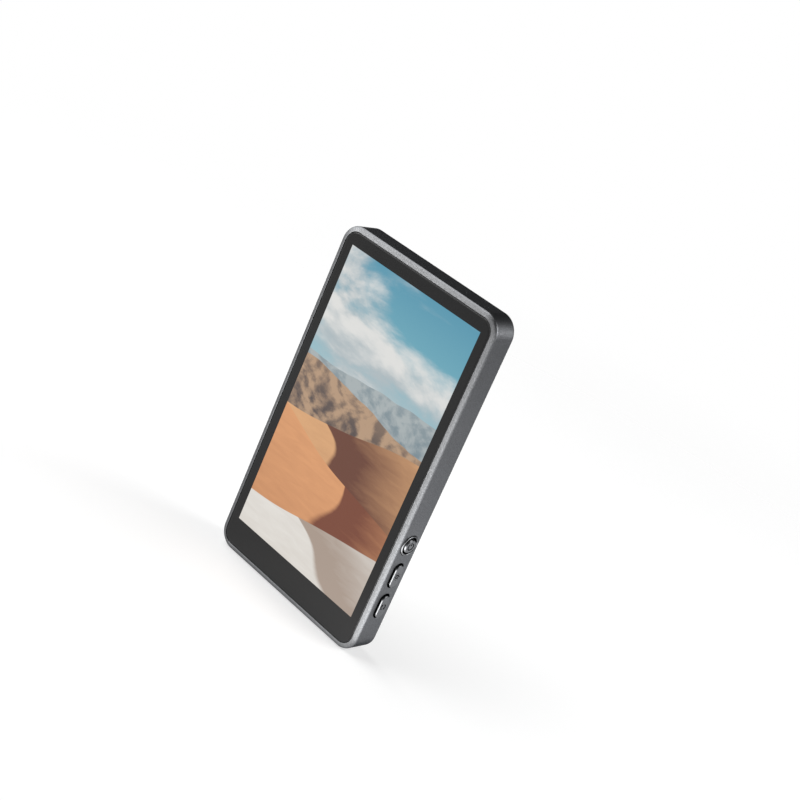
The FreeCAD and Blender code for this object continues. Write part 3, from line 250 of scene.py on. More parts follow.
# %% Finish tools
class Finish:
    """A material whose nodes are added one call at a time."""

    def __init__(self, name, metallic=0.0, **constants):
        self.material = bpy.data.materials.new(name)
        self.material.use_nodes = True
        self.tree = self.material.node_tree
        self.shader = self.tree.nodes["Principled BSDF"]
        self.shader.inputs["Metallic"].default_value = metallic
        for socket, value in constants.items():
            self.shader.inputs[socket.replace("_", " ")].default_value = value
        self.place = self.add("ShaderNodeTexCoord").outputs["Object"]

    def add(self, kind, **settings):
        """A new node with its settings."""
        node = self.tree.nodes.new(kind)
        for name, value in settings.items():
            setattr(node, name, value)
        return node

    def feed(self, socket, source):
        """Join a socket to another node's output, or write a plain value on it."""
        if isinstance(source, bpy.types.NodeSocket):
            self.tree.links.new(source, socket)
        else:
            socket.default_value = source

    def shade(self, **sources):
        """Feed the shader's own sockets."""
        for socket, source in sources.items():
            self.feed(self.shader.inputs[socket.replace("_", " ")], source)

    def sum(self, operation, first, second=0.0, third=0.0, clamp=False):
        """One step of arithmetic."""
        node = self.add("ShaderNodeMath", operation=operation, use_clamp=clamp)
        for socket, source in zip(node.inputs, (first, second, third)):
            self.feed(socket, source)
        return node.outputs[0]

    def step(self, source, low, high, start=0.0, end=1.0):
        """A smooth step: start below low, end above high."""
        node = self.add("ShaderNodeMapRange", interpolation_type="SMOOTHSTEP")
        for socket, value in zip(node.inputs, (source, low, high, start, end)):
            self.feed(socket, value)
        return node.outputs[0]

    def scale(self, source, low, high):
        """A value from 0 to 1 stretched to run from low to high."""
        return self.sum("MULTIPLY_ADD", source, high - low, low)

    def stretch(self, scale, turn=(0, 0, 0), shift=(0, 0, 0), source=None):
        """Coordinates scaled, turned and shifted by a Mapping node."""
        node = self.add("ShaderNodeMapping")
        self.feed(node.inputs["Vector"], self.place if source is None else source)
        node.inputs["Scale"].default_value = scale
        node.inputs["Rotation"].default_value = turn
        node.inputs["Location"].default_value = shift
        return node.outputs[0]

    def noise(self, scale, detail=2.0, rough=0.5, bend=0.0, place=None):
        """Soft noise from 0 to 1."""
        node = self.add("ShaderNodeTexNoise")
        self.feed(node.inputs["Vector"], self.place if place is None else place)
        node.inputs["Scale"].default_value = scale
        node.inputs["Detail"].default_value = detail
        node.inputs["Roughness"].default_value = rough
        node.inputs["Distortion"].default_value = bend
        return node.outputs["Fac"]

    def cells(self, scale, feature="F1", place=None):
        """Distance to the nearest of many scattered points, or to the border between them."""
        node = self.add("ShaderNodeTexVoronoi", feature=feature)
        self.feed(node.inputs["Vector"], self.place if place is None else place)
        node.inputs["Scale"].default_value = scale
        return node.outputs["Distance"]

    def mix(self, share, first, second):
        """Two colours mixed by a share. Sockets 6 and 7 take colours, and output 2 gives one."""
        node = self.add("ShaderNodeMix", data_type="RGBA")
        self.feed(node.inputs["Factor"], share)
        for socket, colour in ((node.inputs[6], first), (node.inputs[7], second)):
            linked = isinstance(colour, bpy.types.NodeSocket)
            self.feed(socket, colour if linked else (*colour, 1))
        return node.outputs[2]

    def ramp(self, share, *stops):
        """A colour ramp with stops of (position, colour)."""
        node = self.add("ShaderNodeValToRGB")
        self.feed(node.inputs["Fac"], share)
        elements = node.color_ramp.elements
        elements.remove(elements[1])
        elements[0].position = stops[0][0]
        elements[0].color = (*stops[0][1], 1)
        for position, colour in stops[1:]:
            elements.new(position).color = (*colour, 1)
        return node.outputs["Color"]

    def bump(self, height, depth, strength):
        """Raise the surface by a height of 0 to 1 times a depth in metres."""
        node = self.add("ShaderNodeBump")
        node.inputs["Strength"].default_value = strength
        node.inputs["Distance"].default_value = depth
        self.feed(node.inputs["Height"], height)
        self.feed(self.shader.inputs["Normal"], node.outputs["Normal"])

    def attribute(self, name):
        """A value stored on the piece's own points."""
        return self.add("ShaderNodeAttribute", attribute_name=name).outputs["Fac"]


print("finish tools:", [tool for tool in vars(Finish) if not tool.startswith("_")])

# %% [markdown]
# ## Metal finishes
# The frame is aluminium that was blasted with fine beads and dyed gunmetal grey. Blasting leaves a
# grain of pits about a fifth of a millimetre across, which breaks the highlight up. The rim carries
# a painted highlight, paler than the dye, and the walls of the openings carry painted shade, almost
# black. Each piece stores a tone on its points, from 0 for the painted shade of the walls and the
# dark print of the marks to 1 for a painted highlight, and a ramp turns it into colour, the dye's
# grey in the middle. Dyed metal also stays dark where the eye grazes it, which bare metal wouldn't,
# so the shader's specular tint is dark grey.

# %% Blasted aluminium
# Painted shade for opening walls (also the dark print of marks), the dye's greys, and painted
# highlights for rim and bevels.
SHADE_AND_PRINT_DARK = (0.010, 0.010, 0.011)
DYED_SIDE = (0.158, 0.162, 0.170)
RIM_PAINTED_HIGHLIGHT = (0.27, 0.274, 0.281)
CAP_FACE = (0.185, 0.189, 0.197)
BEVEL_PAINTED_HIGHLIGHT = (0.42, 0.424, 0.432)
EDGE_TINT = (0.17, 0.17, 0.17, 1.0)
SHADE_AND_PRINT_TONE, SIDE_TONE, PAINTED_HIGHLIGHT_TONE = 0.0, 0.5, 1.0
FRAME_PIT, FRAME_ROUGH = 0.00024, 0.38
CAP_PIT, CAP_ROUGH = 0.00018, 0.30
SPECK_SCALE, SPECK_RANGE = 0.62, (0.35, 1.65)
PATCH_SCALE, PATCH_RANGE = 45.0, (0.88, 1.12)
PIT_DEPTH, PIT_BUMP = 0.25, 0.35
SMOOTHER, ROUGHER = 0.07, 0.09


def blasted_metal(name, pit_size, rough, side, edge):
    """Gunmetal with pits of a given size; its colour follows the tone on the points: painted shade,
    dye, painted highlight.
    """
    metal = Finish(name, metallic=1.0, Specular_Tint=EDGE_TINT)
    pits = metal.noise(1 / pit_size, detail=3.0, rough=0.6)
    specks = metal.noise(SPECK_SCALE / pit_size, detail=2.0, rough=0.7)
    patches = metal.scale(metal.noise(PATCH_SCALE, detail=2.0), *PATCH_RANGE)
    grain = metal.sum("MULTIPLY", metal.scale(specks, *SPECK_RANGE), patches)
    stops = ((SHADE_AND_PRINT_TONE, SHADE_AND_PRINT_DARK), (SIDE_TONE, side), (PAINTED_HIGHLIGHT_TONE, edge))
    dye_and_painted_light = metal.ramp(metal.attribute("tone"), *stops)
    shaded = metal.add("ShaderNodeVectorMath", operation="SCALE")
    metal.feed(shaded.inputs[0], dye_and_painted_light)
    metal.feed(shaded.inputs["Scale"], grain)
    metal.shade(Base_Color=shaded.outputs[0])
    metal.shade(Roughness=metal.scale(pits, rough - SMOOTHER, rough + ROUGHER))
    metal.bump(pits, PIT_DEPTH * pit_size, PIT_BUMP)
    return metal.material


frame_finish = blasted_metal("frame_metal_finish", FRAME_PIT, FRAME_ROUGH, DYED_SIDE, RIM_PAINTED_HIGHLIGHT)
cap_finish = blasted_metal("cap_metal_finish", CAP_PIT, CAP_ROUGH, CAP_FACE, BEVEL_PAINTED_HIGHLIGHT)
print("finishes:", frame_finish.name, cap_finish.name)

# %% [markdown]
# ## The side frame
# The frame is one ring of metal: a flat side, a rounded front rim, a lip beside the glass, a ledge
# behind the glass and a small round at the rear. That is a profile carried round a rounded
# rectangle. The only things that break it are the openings for the buttons and the socket.
# A boolean cut would leave ragged faces, so each opening is a window in the grid instead: rings of
# points lead from the rectangle round the window to the edge of the opening, through the wall
# and out to the rectangle on the inner side.

# %% Sizes of the frame
frame_low, frame_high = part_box("side_frame")
HALF_WIDTH = (frame_high.x - frame_low.x) / 2
HALF_HEIGHT = (frame_high.z - frame_low.z) / 2
MIDDLE_Z = (frame_high.z + frame_low.z) / 2
FRONT, REAR = frame_low.y, frame_high.y
CORNER = 0.0062
REAR_ROUND = 0.0006
RIM_WIDTH = 0.00175
RIM_TILT = math.radians(18)
RIM_TURN = 4
LIP = 0.00008
WALL = 0.0015
LEDGE_STARTS, LEDGE_ENDS = 0.0010, 0.0021
LEDGE_FRONT, LEDGE_REAR = FRONT + LEDGE_STARTS, FRONT + LEDGE_ENDS
LEDGE_REACH = 0.0034
WALL_ROWS = 12
LIP_ROWS = 4
# Reach of the rim's painted highlight, and the painted shade on the lip beside the glass.
RIM_HIGHLIGHT_REACH = 0.0010
LIP_PAINTED_SHADE = 0.35
WINDOW_STEPS = 36
print("frame:", [round(side, 4) for side in frame_high - frame_low])


# %% Outline and section of the frame
def rounded_outline(half_width, half_height, radius, right_stops=(), bottom_stops=(), steps=24):
    """Outline of a rounded rectangle, anticlockwise from the foot of its right side, with normals.

    The straight sides have points only at their ends and stops. A corner is its centre
    plus radius times (cos a, sin a), with a running through a quarter turn.
    """
    x, z = half_width - radius, half_height - radius
    heights = np.unique(np.concatenate([[-z, z], right_stops]))
    widths = np.unique(np.concatenate([[-x, x], bottom_stops]))
    runs = (
        (np.stack([np.full_like(heights, half_width), heights], 1), (1, 0), (x, z)),
        (np.array([(x, half_height), (-x, half_height)]), (0, 1), (-x, z)),
        (np.array([(-half_width, z), (-half_width, -z)]), (-1, 0), (-x, -z)),
        (np.stack([widths, np.full_like(widths, -half_height)], 1), (0, -1), (x, -z)),
    )
    points, normals = [], []
    for quarter, (run, normal, centre) in enumerate(runs):
        angle = (quarter + np.linspace(0, 1, steps + 1)[1:-1]) * np.pi / 2
        bend = np.stack([np.cos(angle), np.sin(angle)], 1)
        points += [run, np.array(centre) + radius * bend]
        normals += [np.broadcast_to(np.array(normal, float), run.shape), bend]
    return np.concatenate(points), np.concatenate(normals)


def carry(outline, normals, profile, middle_z):
    """A profile carried round an outline.

    Point (i, j) is the outline's point j, moved in by the profile's inset i, at its level i.
    """
    inset, level = profile[:, 0][:, None], profile[:, 1][:, None]
    x = outline[:, 0] - inset * normals[:, 0]
    z = middle_z + outline[:, 1] - inset * normals[:, 1]
    return np.stack([x, np.broadcast_to(level, x.shape), z], -1)


def rim_curve(steps=24, fine=40):
    """The rim's section, from the side to its inner edge, as (inset, level) pairs.

    Along the way u from the inner edge, the surface leans by tilt + (90 degrees - tilt) u^4, so it
    is nearly flat beside the glass and turns fast beside the side. Adding up the sines and
    cosines of that lean gives the curve, which is then scaled to the rim's width.
    """
    way = np.linspace(0, 1, steps * fine + 1)
    lean = RIM_TILT + (np.pi / 2 - RIM_TILT) * way**RIM_TURN
    middle = (lean[1:] + lean[:-1]) / 2
    outward = np.append(0, np.cumsum(np.cos(middle)))[::fine]
    back = np.append(0, np.cumsum(np.sin(middle)))[::fine]
    size = (RIM_WIDTH - LIP) / outward[-1]
    return np.stack([RIM_WIDTH - LIP - size * outward, FRONT + size * back], 1)[::-1]


def frame_profile():
    """The frame's section as (inset, level) pairs, from the rear of the side round to the rear.

    The second result is the row at which the inner wall starts.
    """
    quarter = np.linspace(0, np.pi / 2, 13)
    rim = rim_curve()
    side_levels = np.linspace(REAR - REAR_ROUND, rim[0, 1], WALL_ROWS + 1)
    inner_levels = np.linspace(LEDGE_REAR, REAR - LIP, WALL_ROWS + 1)
    side = np.stack([np.zeros_like(side_levels), side_levels], 1)
    lip = np.array([
        (RIM_WIDTH, FRONT + LIP),
        (RIM_WIDTH, LEDGE_FRONT),
        (LEDGE_REACH, LEDGE_FRONT),
        (LEDGE_REACH, LEDGE_REAR),
    ])
    inner = np.stack([np.full_like(inner_levels, WALL), inner_levels], 1)
    turn_in, turn_back = 1 - np.sin(quarter), 1 - np.cos(quarter)
    back = np.stack([REAR_ROUND * turn_in, REAR - REAR_ROUND * turn_back], 1)
    chamfer = np.array([(WALL - LIP, REAR)])
    rows = np.concatenate([side, rim[1:], lip, inner, chamfer, back[:-1]])
    return rows, len(side) + len(rim) - 1 + len(lip)


profile, inner_row = frame_profile()
print("profile points:", len(profile))

# %% [markdown]
# An opening is an oblong: two half circles and two straight flanks. From its middle, the distance
# to the edge along any direction has a short formula, so an oblong with a larger radius is the
# same oblong grown evenly. Rings of different growth at different depths make the soft edge,
# the seat for the power button's ring, and the straight walls.


# %% Openings in the frame
def oblong_reach(angle, half_run, radius):
    """Distance from an oblong's middle to its edge, along an angle from its short axis.

    On the flanks it is radius / cos a. Past them the round ends give
    half_run sin a + sqrt(radius^2 - (half_run cos a)^2).
    """
    across, along = np.abs(np.cos(angle)), np.abs(np.sin(angle))
    flank = radius / np.maximum(across, 1e-9)
    end = half_run * along + np.sqrt(np.maximum(radius**2 - (half_run * across) ** 2, 0))
    return np.where(flank * along <= half_run, flank, end)


def rectangle_loop(across, along):
    """Points round a rectangle, through the stops on its two sides, as (across, along)."""
    return np.concatenate([
        np.stack([np.full(len(along) - 1, across[0]), along[:-1]], 1),
        np.stack([across[:-1], np.full(len(across) - 1, along[-1])], 1),
        np.stack([np.full(len(along) - 1, across[-1]), along[:0:-1]], 1),
        np.stack([across[:0:-1], np.full(len(across) - 1, along[0])], 1),
    ])


def window(centre, half_run, radius, stops, rings, place):
    """The grid of a window: rectangle, rings of (growth, depth) through the wall, rectangle."""
    outer = rectangle_loop(profile[: WALL_ROWS + 1, 1], stops)
    inner = rectangle_loop(profile[inner_row: inner_row + WALL_ROWS + 1, 1][::-1], stops)
    angle = np.arctan2(outer[:, 1] - centre[1], outer[:, 0] - centre[0])
    growth, depth = np.array(rings).T[:, :, None]
    reach = oblong_reach(angle, half_run, radius + growth)
    across = np.vstack([outer[:, 0], centre[0] + reach * np.cos(angle), inner[:, 0]])
    along = np.vstack([outer[:, 1], centre[1] + reach * np.sin(angle), inner[:, 1]])
    through = np.broadcast_to(depth, reach.shape)
    deep = np.vstack([np.zeros_like(angle), through, np.full_like(angle, WALL)])
    grid = place(across, along, deep)
    return grid, grid_quads(*across.shape), ()


def window_tones(rings, size, points):
    """Tones of a window's grid: the side's tone out to the soft edge, and painted shade on the
    walls below it.
    """
    walls = np.where(np.array(rings)[:, 1] < 0.5 * size, SIDE_TONE, SHADE_AND_PRINT_TONE)
    return np.repeat(np.concatenate([[SIDE_TONE], walls, [SIDE_TONE]]), points)


def soft_edge(size, seat=0.0, shelf=0.0):
    """Rings of an opening, its outer edge rounded by size, with a wider seat down to a shelf."""
    turn = np.linspace(0, np.pi / 2, 5)
    edge = np.stack([seat + size * (1 - np.sin(turn)), size * (1 - np.cos(turn))], 1)
    walls = [(seat, shelf), (0.0, shelf), (0.0, WALL)] if seat else [(0.0, WALL)]
    return np.concatenate([edge, walls])


def on_right(across, along, deep):
    """Places on the button side: depth runs along -X."""
    return np.stack([HALF_WIDTH - deep, across, along], -1)


def on_foot(across, along, deep):
    """Places on the bottom side: depth runs along +Z."""
    return np.stack([along, across, frame_low.z + deep], -1)


def middle_of(node):
    """Middle of a packed piece's box."""
    low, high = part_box(node)
    return (low + high) / 2


print("frame's side at x", round(HALF_WIDTH, 5), "and foot at z", round(frame_low.z, 5))

# %% Places of the openings
SLOT_EDGE = 0.00014
BUTTON_GAP = 0.0005
SOCKET_GAP = 0.00013
SOCKET_MARGIN = 0.004
POWER_HOLE = 0.0029
RING_SEAT = 0.00062
RING_SHELF = 0.0006
CAP_RADIUS = {"power": 0.0024, "brightness": 0.00175, "rotate": 0.00175}
CAP_RUN = {"power": 0.0, "brightness": 0.00225, "rotate": 0.00225}
BUTTONS = tuple(CAP_RADIUS)

button_middles = {name: middle_of(f"{name}_button") for name in BUTTONS}
spread = [button_middles[name].z for name in BUTTONS]
halfway = [(a + b) / 2 for a, b in zip(spread, spread[1:])]
limits = [spread[0] + (spread[0] - halfway[0]), *halfway, spread[-1] - (halfway[-1] - spread[-1])]
stops = {
    name: np.linspace(limits[k + 1], limits[k], WINDOW_STEPS + 1) for k, name in enumerate(BUTTONS)
}
socket_low, socket_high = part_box("usb_shell")
socket_reach = (socket_high.x - socket_low.x) / 2
socket_radius = (socket_high.y - socket_low.y) / 2
socket_stops = np.linspace(-1, 1, WINDOW_STEPS + 1) * (socket_reach + SOCKET_MARGIN)
print("buttons at z:", [round(place, 5) for place in spread])

# %% Skin of the frame
outline, normals = rounded_outline(
    HALF_WIDTH, HALF_HEIGHT, CORNER,
    right_stops=np.concatenate(list(stops.values())) - MIDDLE_Z,
    bottom_stops=socket_stops,
)
skin = carry(outline, normals, profile, MIDDLE_Z)
quads = grid_quads(len(profile), len(outline), closed_rows=True)
ahead = np.roll(outline, -1, 0)
beside_buttons = (
    (normals[:, 0] == 1)
    & (outline[:, 1] + MIDDLE_Z >= limits[-1] - WELD)
    & (ahead[:, 1] + MIDDLE_Z <= limits[0] + WELD)
)
beside_socket = (normals[:, 1] == -1) & (outline[:, 0] >= socket_stops[0] - WELD)
beside_socket &= ahead[:, 0] <= socket_stops[-1] + WELD
row = np.arange(len(profile))
wall_rows = (row < WALL_ROWS) | ((row >= inner_row) & (row < inner_row + WALL_ROWS))
kept = ~(wall_rows[:, None] & (beside_buttons | beside_socket)[None, :])
parts = [(skin, quads[kept], ())]
# The rim gets a painted highlight that grows over its first millimetre, and the lip beside the
# glass gets painted shade.
lip_row = inner_row - LIP_ROWS
rim_rows = (row > WALL_ROWS) & (row < lip_row)
rim_highlight = np.where(rim_rows, np.clip(profile[:, 0] / RIM_HIGHLIGHT_REACH, 0, 1), 0)
skin_tone = SIDE_TONE + (PAINTED_HIGHLIGHT_TONE - SIDE_TONE) * rim_highlight
skin_tone[(row >= lip_row) & (row < inner_row)] = LIP_PAINTED_SHADE
tones = [np.repeat(skin_tone, len(outline))]
print("skin:", int(kept.sum()), "of", kept.size, "quads kept beside the windows")

# %% Windows of the frame
openings = [
    (
        (button_middles[name].y, button_middles[name].z),
        CAP_RUN[name],
        POWER_HOLE if name == "power" else CAP_RADIUS[name] + BUTTON_GAP,
        stops[name],
        soft_edge(SLOT_EDGE, RING_SEAT, RING_SHELF) if name == "power" else soft_edge(SLOT_EDGE),
        on_right,
    )
    for name in BUTTONS
]
openings.append((
    (middle_of("usb_shell").y, 0.0), socket_reach - socket_radius, socket_radius + SOCKET_GAP,
    socket_stops, soft_edge(SLOT_EDGE), on_foot,
))
for opening in openings:
    parts.append(window(*opening))
    tones.append(window_tones(opening[4], SLOT_EDGE, parts[-1][0].shape[1]))
frame_tone = np.concatenate(tones)
side_frame = make_piece("frame_ring", parts, "housing", frame_finish, frame_tone)
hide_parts("side_frame")

# %% [markdown]
# ## The lit picture
# The screen shows a generic landscape: a teal sky with pale clouds, hazy hills, warm dunes
# and pale sand. It is painted by nodes alone, so it stays sharp at any size. Each range of hills is
# a rough skyline: below the line the hill covers what lies behind it. The folds are a height map
# compared with itself a little to one side, which is bright where the ground faces the sun.

# %% Size of the picture
PICTURE_WIDTH, PICTURE_HEIGHT = 0.056, 0.0996
CHIN = 0.01125
PICTURE_FOOT = cad_low.z + CHIN
PICTURE_SOFT = 0.00003


def picture_share(paint):
    """1 on the lit picture and 0 on the dark border round it."""
    axes = paint.add("ShaderNodeSeparateXYZ")
    paint.feed(axes.inputs[0], paint.place)
    above_middle = paint.sum("SUBTRACT", axes.outputs["Z"], PICTURE_FOOT + PICTURE_HEIGHT / 2)
    inside = []
    for off, size in ((axes.outputs["X"], PICTURE_WIDTH), (above_middle, PICTURE_HEIGHT)):
        edge = (size / 2 - PICTURE_SOFT, size / 2 + PICTURE_SOFT)
        inside.append(paint.step(paint.sum("ABSOLUTE", off), *edge, 1.0, 0.0))
    return paint.sum("MULTIPLY", *inside)


print("picture:", PICTURE_WIDTH, "by", PICTURE_HEIGHT, "m, its foot at", round(PICTURE_FOOT, 5))

# %% Sky
SKY_COLOURS = (
    (0.42, (0.62, 0.70, 0.70)),
    (0.62, (0.36, 0.56, 0.62)),
    (0.84, (0.15, 0.41, 0.52)),
    (1.0, (0.10, 0.33, 0.46)),
)
CLOUD_SHADE, CLOUD_LIT = (0.46, 0.53, 0.56), (0.80, 0.80, 0.78)
CLOUD_FOLD, CLOUD_TURN, CLOUD_APART = (2.1, 4.6, 1.0), -0.5, (0.05, 0.22)
CLOUD_GRAIN, CLOUD_LIGHT, CLOUD_EDGE = (6.0, 0.56, 0.35), (-0.10, 0.12), (0.40, 0.60)


def sunlit(paint, place, fold, turn, seed, apart, grain, light):
    """Height and light of clouds or ground: noise, and the same noise a little way aside.

    The light is the first less the second, stepped between the two values given as light.
    """
    samples = [
        paint.noise(1.0, *grain, paint.stretch(fold, (0, 0, turn), (seed + x, seed + y, 0), place))
        for x, y in ((0, 0), apart)
    ]
    return samples[0], paint.step(paint.sum("SUBTRACT", *samples), *light)


def sky(paint, up, place):
    """Teal sky that pales downwards, with clouds lit from above."""
    clear = paint.ramp(up, *SKY_COLOURS)
    drift = (CLOUD_FOLD, CLOUD_TURN, 0.0, CLOUD_APART, CLOUD_GRAIN, CLOUD_LIGHT)
    mass, light = sunlit(paint, place, *drift)
    cloud = paint.mix(light, CLOUD_SHADE, CLOUD_LIT)
    return paint.mix(paint.step(mass, *CLOUD_EDGE), clear, cloud)


print("sky:", len(SKY_COLOURS), "colours from the horizon up")

# %% Hills
HILL_LINE, HILL_EDGE = (2.2, 4.0, 0.42), (-0.001, 0.002)
HILL_TURN, HILL_APART = 0.45, (0.16, 0.10)
HILL_GRAIN, HILL_LIGHT = (7.0, 0.56, 0.25), (-0.12, 0.12)
CREST_DEPTH, CREST_GAIN = 0.10, 0.30
RANGES = (
    (3.1, 0.66, 0.10, (0.42, 0.47, 0.48), (0.20, 0.27, 0.31), (9, 12, 1), 0.04),
    (7.4, 0.60, 0.16, (0.50, 0.33, 0.21), (0.10, 0.075, 0.07), (9, 11, 1), -0.10),
)


def below_skyline(paint, across, up, place, seed, line, wave, tilt, grain):
    """Depth below a skyline, which is line + tilt across + wave (noise - 1/2)."""
    along = paint.stretch((1, 0, 0), shift=(seed, 0, 0), source=place)
    rough = paint.sum("SUBTRACT", paint.noise(*grain, 0.0, along), 0.5)
    skyline = paint.sum("MULTIPLY_ADD", rough, wave, line)
    skyline = paint.sum("MULTIPLY_ADD", across, tilt, skyline)
    return paint.sum("SUBTRACT", skyline, up)


def range_of_hills(paint, behind, across, up, place, seed, line, wave, lit, shade, fold, tilt):
    """Cover what lies behind with a range of folded hills, paler along the crest."""
    depth = below_skyline(paint, across, up, place, seed, line, wave, tilt, HILL_LINE)
    folds = (fold, HILL_TURN, seed, HILL_APART, HILL_GRAIN, HILL_LIGHT)
    light = sunlit(paint, place, *folds)[1]
    crest = paint.step(depth, 0.0, CREST_DEPTH, CREST_GAIN, 0.0)
    ground = paint.mix(paint.sum("ADD", light, crest, clamp=True), shade, lit)
    return paint.mix(paint.step(depth, *HILL_EDGE), behind, ground)


print("hills:", len(RANGES), "ranges")

# %% Dunes
DUNE_LINE, DUNE_EDGE, SPINE_EDGE = (1.5, 1.0, 0.3), (-0.001, 0.0015), -0.002
BLUR_START, BLUR_GROWTH = 0.004, 0.22
SHADE_REACH, SHADE_LEFT = 0.42, 0.25
RIPPLE_FOLD, RIPPLE_TURN = (9, 46, 1), 0.35
RIPPLE_GRAIN, RIPPLE_GAIN = (3.0, 0.55, 0.6), 0.34
SUNNY, DEEPER = 0.92, -0.55
DUNES = (
    (1.7, 0.50, 0.16, 0.16, (-0.10, 0.55, 0.030, 30.0), (0.80, 0.44, 0.21), (0.15, 0.050, 0.027)),
    (5.2, 0.36, 0.16, -0.26, (0.06, -0.35, 0.02, 24.0), (0.80, 0.38, 0.17), (0.20, 0.056, 0.026)),
    (9.6, 0.16, 0.10, 0.16, (-0.06, 1.10, 0.020, 30.0), (0.84, 0.81, 0.76), (0.42, 0.33, 0.27)),
)


def dune(paint, behind, across, up, place, seed, line, wave, tilt, spine, lit, shade):
    """Cover what lies behind with a dune: a smooth skyline and one winding spine.

    The spine starts at a place on the skyline and runs down as start + lean depth
    + bend sin(turns depth). To its right the ground is in shade, sharp at the top, soft lower down.
    """
    start, lean, bend, turns = spine
    depth = below_skyline(paint, across, up, place, seed, line, wave, tilt, DUNE_LINE)
    sway = paint.sum("SINE", paint.sum("MULTIPLY", depth, turns))
    middle = paint.sum("MULTIPLY_ADD", depth, lean, paint.sum("MULTIPLY_ADD", sway, bend, start))
    aside = paint.sum("SUBTRACT", across, middle)
    blur = paint.sum("MULTIPLY_ADD", paint.sum("MAXIMUM", depth, 0.0), BLUR_GROWTH, BLUR_START)
    dark = paint.step(aside, SPINE_EDGE, blur)
    fade = paint.step(aside, 0.0, SHADE_REACH, 1.0, SHADE_LEFT)
    waves = paint.stretch(RIPPLE_FOLD, turn=(0, 0, RIPPLE_TURN + seed), source=place)
    ripple = paint.sum("SUBTRACT", paint.noise(1.0, *RIPPLE_GRAIN, waves), 0.5)
    light = paint.sum("SUBTRACT", SUNNY, paint.sum("MULTIPLY", dark, fade))
    light = paint.sum("MULTIPLY_ADD", ripple, RIPPLE_GAIN, light)
    light = paint.sum("MULTIPLY_ADD", depth, DEEPER, light, clamp=True)
    return paint.mix(paint.step(depth, *DUNE_EDGE), behind, paint.mix(light, shade, lit))


def landscape(paint):
    """The whole picture, from far to near, on a flat place whose height runs from 0 to 1."""
    shrink = (1 / PICTURE_HEIGHT,) * 3
    axes = paint.add("ShaderNodeSeparateXYZ")
    foot = (0, 0, -PICTURE_FOOT / PICTURE_HEIGHT)
    paint.feed(axes.inputs[0], paint.stretch(shrink, shift=foot))
    across, up = axes.outputs["X"], axes.outputs["Z"]
    flat = paint.add("ShaderNodeCombineXYZ")
    paint.feed(flat.inputs["X"], across)
    paint.feed(flat.inputs["Y"], up)
    place = flat.outputs[0]
    picture = sky(paint, up, place)
    for hills in RANGES:
        picture = range_of_hills(paint, picture, across, up, place, *hills)
    for sand in DUNES:
        picture = dune(paint, picture, across, up, place, *sand)
    return picture


print("dunes:", len(DUNES))

# %% [markdown]
# ## The cover glass
# One sheet of glass covers the picture and its dark painted border. Clear glass over a
# picture would need refraction, which is noisy and adds nothing here, so the sheet is opaque: the
# picture glows from it, the border is near black, and the gloss on top is the shader's own.
# Faint smears vary the roughness. The sheet curves down a little towards its edge, and the
# edge itself is ground, so it is pale and draws a fine line beside the dark gap.

# %% Glass finish and sheet
GLASS_CORNER = 0.0044
GLASS_INSET = 0.00018
GLASS_CURVE = 0.0009
CURVE_DROP = 0.00007
GROUND_WIDTH = 0.00026
GROUND_DEPTH = 0.00030
GROUND_TOP = (0.92 * GROUND_WIDTH, 1.15 * CURVE_DROP)
GROUND_FOOT = (0.10 * GROUND_WIDTH, GROUND_DEPTH)
SIDE_TOP = 1.2 * GROUND_DEPTH
GROUND_GREY = 0.07
PICTURE_GLOW = 0.88
SMEAR_SCALE, SMEAR_EDGE, SMEAR_ROUGH = 38.0, (0.45, 0.75), (0.055, 0.12)
BORDER_CLEAN, BORDER_SMEARED = (0.003, 0.003, 0.003), (0.006, 0.006, 0.0065)


def lit_glass(name):
    """Glossy sheet with the picture glowing inside a dark border, and a pale ground edge."""
    glass = Finish(name, Specular_IOR_Level=0.5, Emission_Strength=PICTURE_GLOW)
    share = picture_share(glass)
    smear = glass.noise(SMEAR_SCALE, 4.0, 0.6, 1.2)
    border = glass.mix(smear, BORDER_CLEAN, BORDER_SMEARED)
    glass.shade(Base_Color=glass.mix(glass.attribute("tone"), border, (GROUND_GREY,) * 3))
    glass.shade(Emission_Color=glass.mix(share, (0, 0, 0), landscape(glass)))
    glass.shade(Roughness=glass.scale(glass.step(smear, *SMEAR_EDGE), *SMEAR_ROUGH))
    return glass.material


def sheet_profile(front, rear):
    """The sheet's edge as (inset, level, tone): a shallow curve, the ground edge and the side.

    Along the curve the drop grows as the square of the way towards the edge.
    """
    way = np.linspace(0, 1, 8)
    inset = GROUND_WIDTH + (GLASS_CURVE - GROUND_WIDTH) * (1 - way)
    curve = np.stack([inset, front + CURVE_DROP * way**2, np.zeros_like(way)], 1)
    ground = np.array([
        (GROUND_TOP[0], front + GROUND_TOP[1], 1.0),
        (GROUND_FOOT[0], front + GROUND_FOOT[1], 1.0),
        (0.0, front + SIDE_TOP, 0.0),
        (0.0, rear, 0.0),
    ])
    return np.concatenate([curve, ground])


def sheet(low, high):
    """The glass: its edge carried round a rounded rectangle, with a flat cap on each side."""
    half = (high - low) / 2
    path, outward = rounded_outline(half.x - GLASS_INSET, half.z - GLASS_INSET, GLASS_CORNER)
    section = sheet_profile(low.y, high.y)
    grid = carry(path, outward, section, (low.z + high.z) / 2)
    size = (len(section), len(path))
    return (grid, grid_quads(*size), end_caps(*size)), np.repeat(section[:, 2], len(path))


glass_finish = lit_glass("front_glass_finish")
glass_part, glass_tone = sheet(*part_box("cover_glass"))
glass = make_piece("glass_sheet", [glass_part], "housing", glass_finish, glass_tone)
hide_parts("cover_glass")

# %% [markdown]
# ## The buttons
# A cap is a stack of oblong rings along the X axis: a flat top, a bevel that catches the light, the
# head, a thin neck through the wall, and a flange behind it that keeps the cap in. Rings with the
# same number of points join into one closed skin. A cylinder with a Bevel modifier could make a cap
# too, but with rings each band carries its own tone. Small raised marks in a dark colour tell the
# caps apart: a broken ring with a bar for power, a dotted sun for brightness, and two turning
# arrows for rotate.

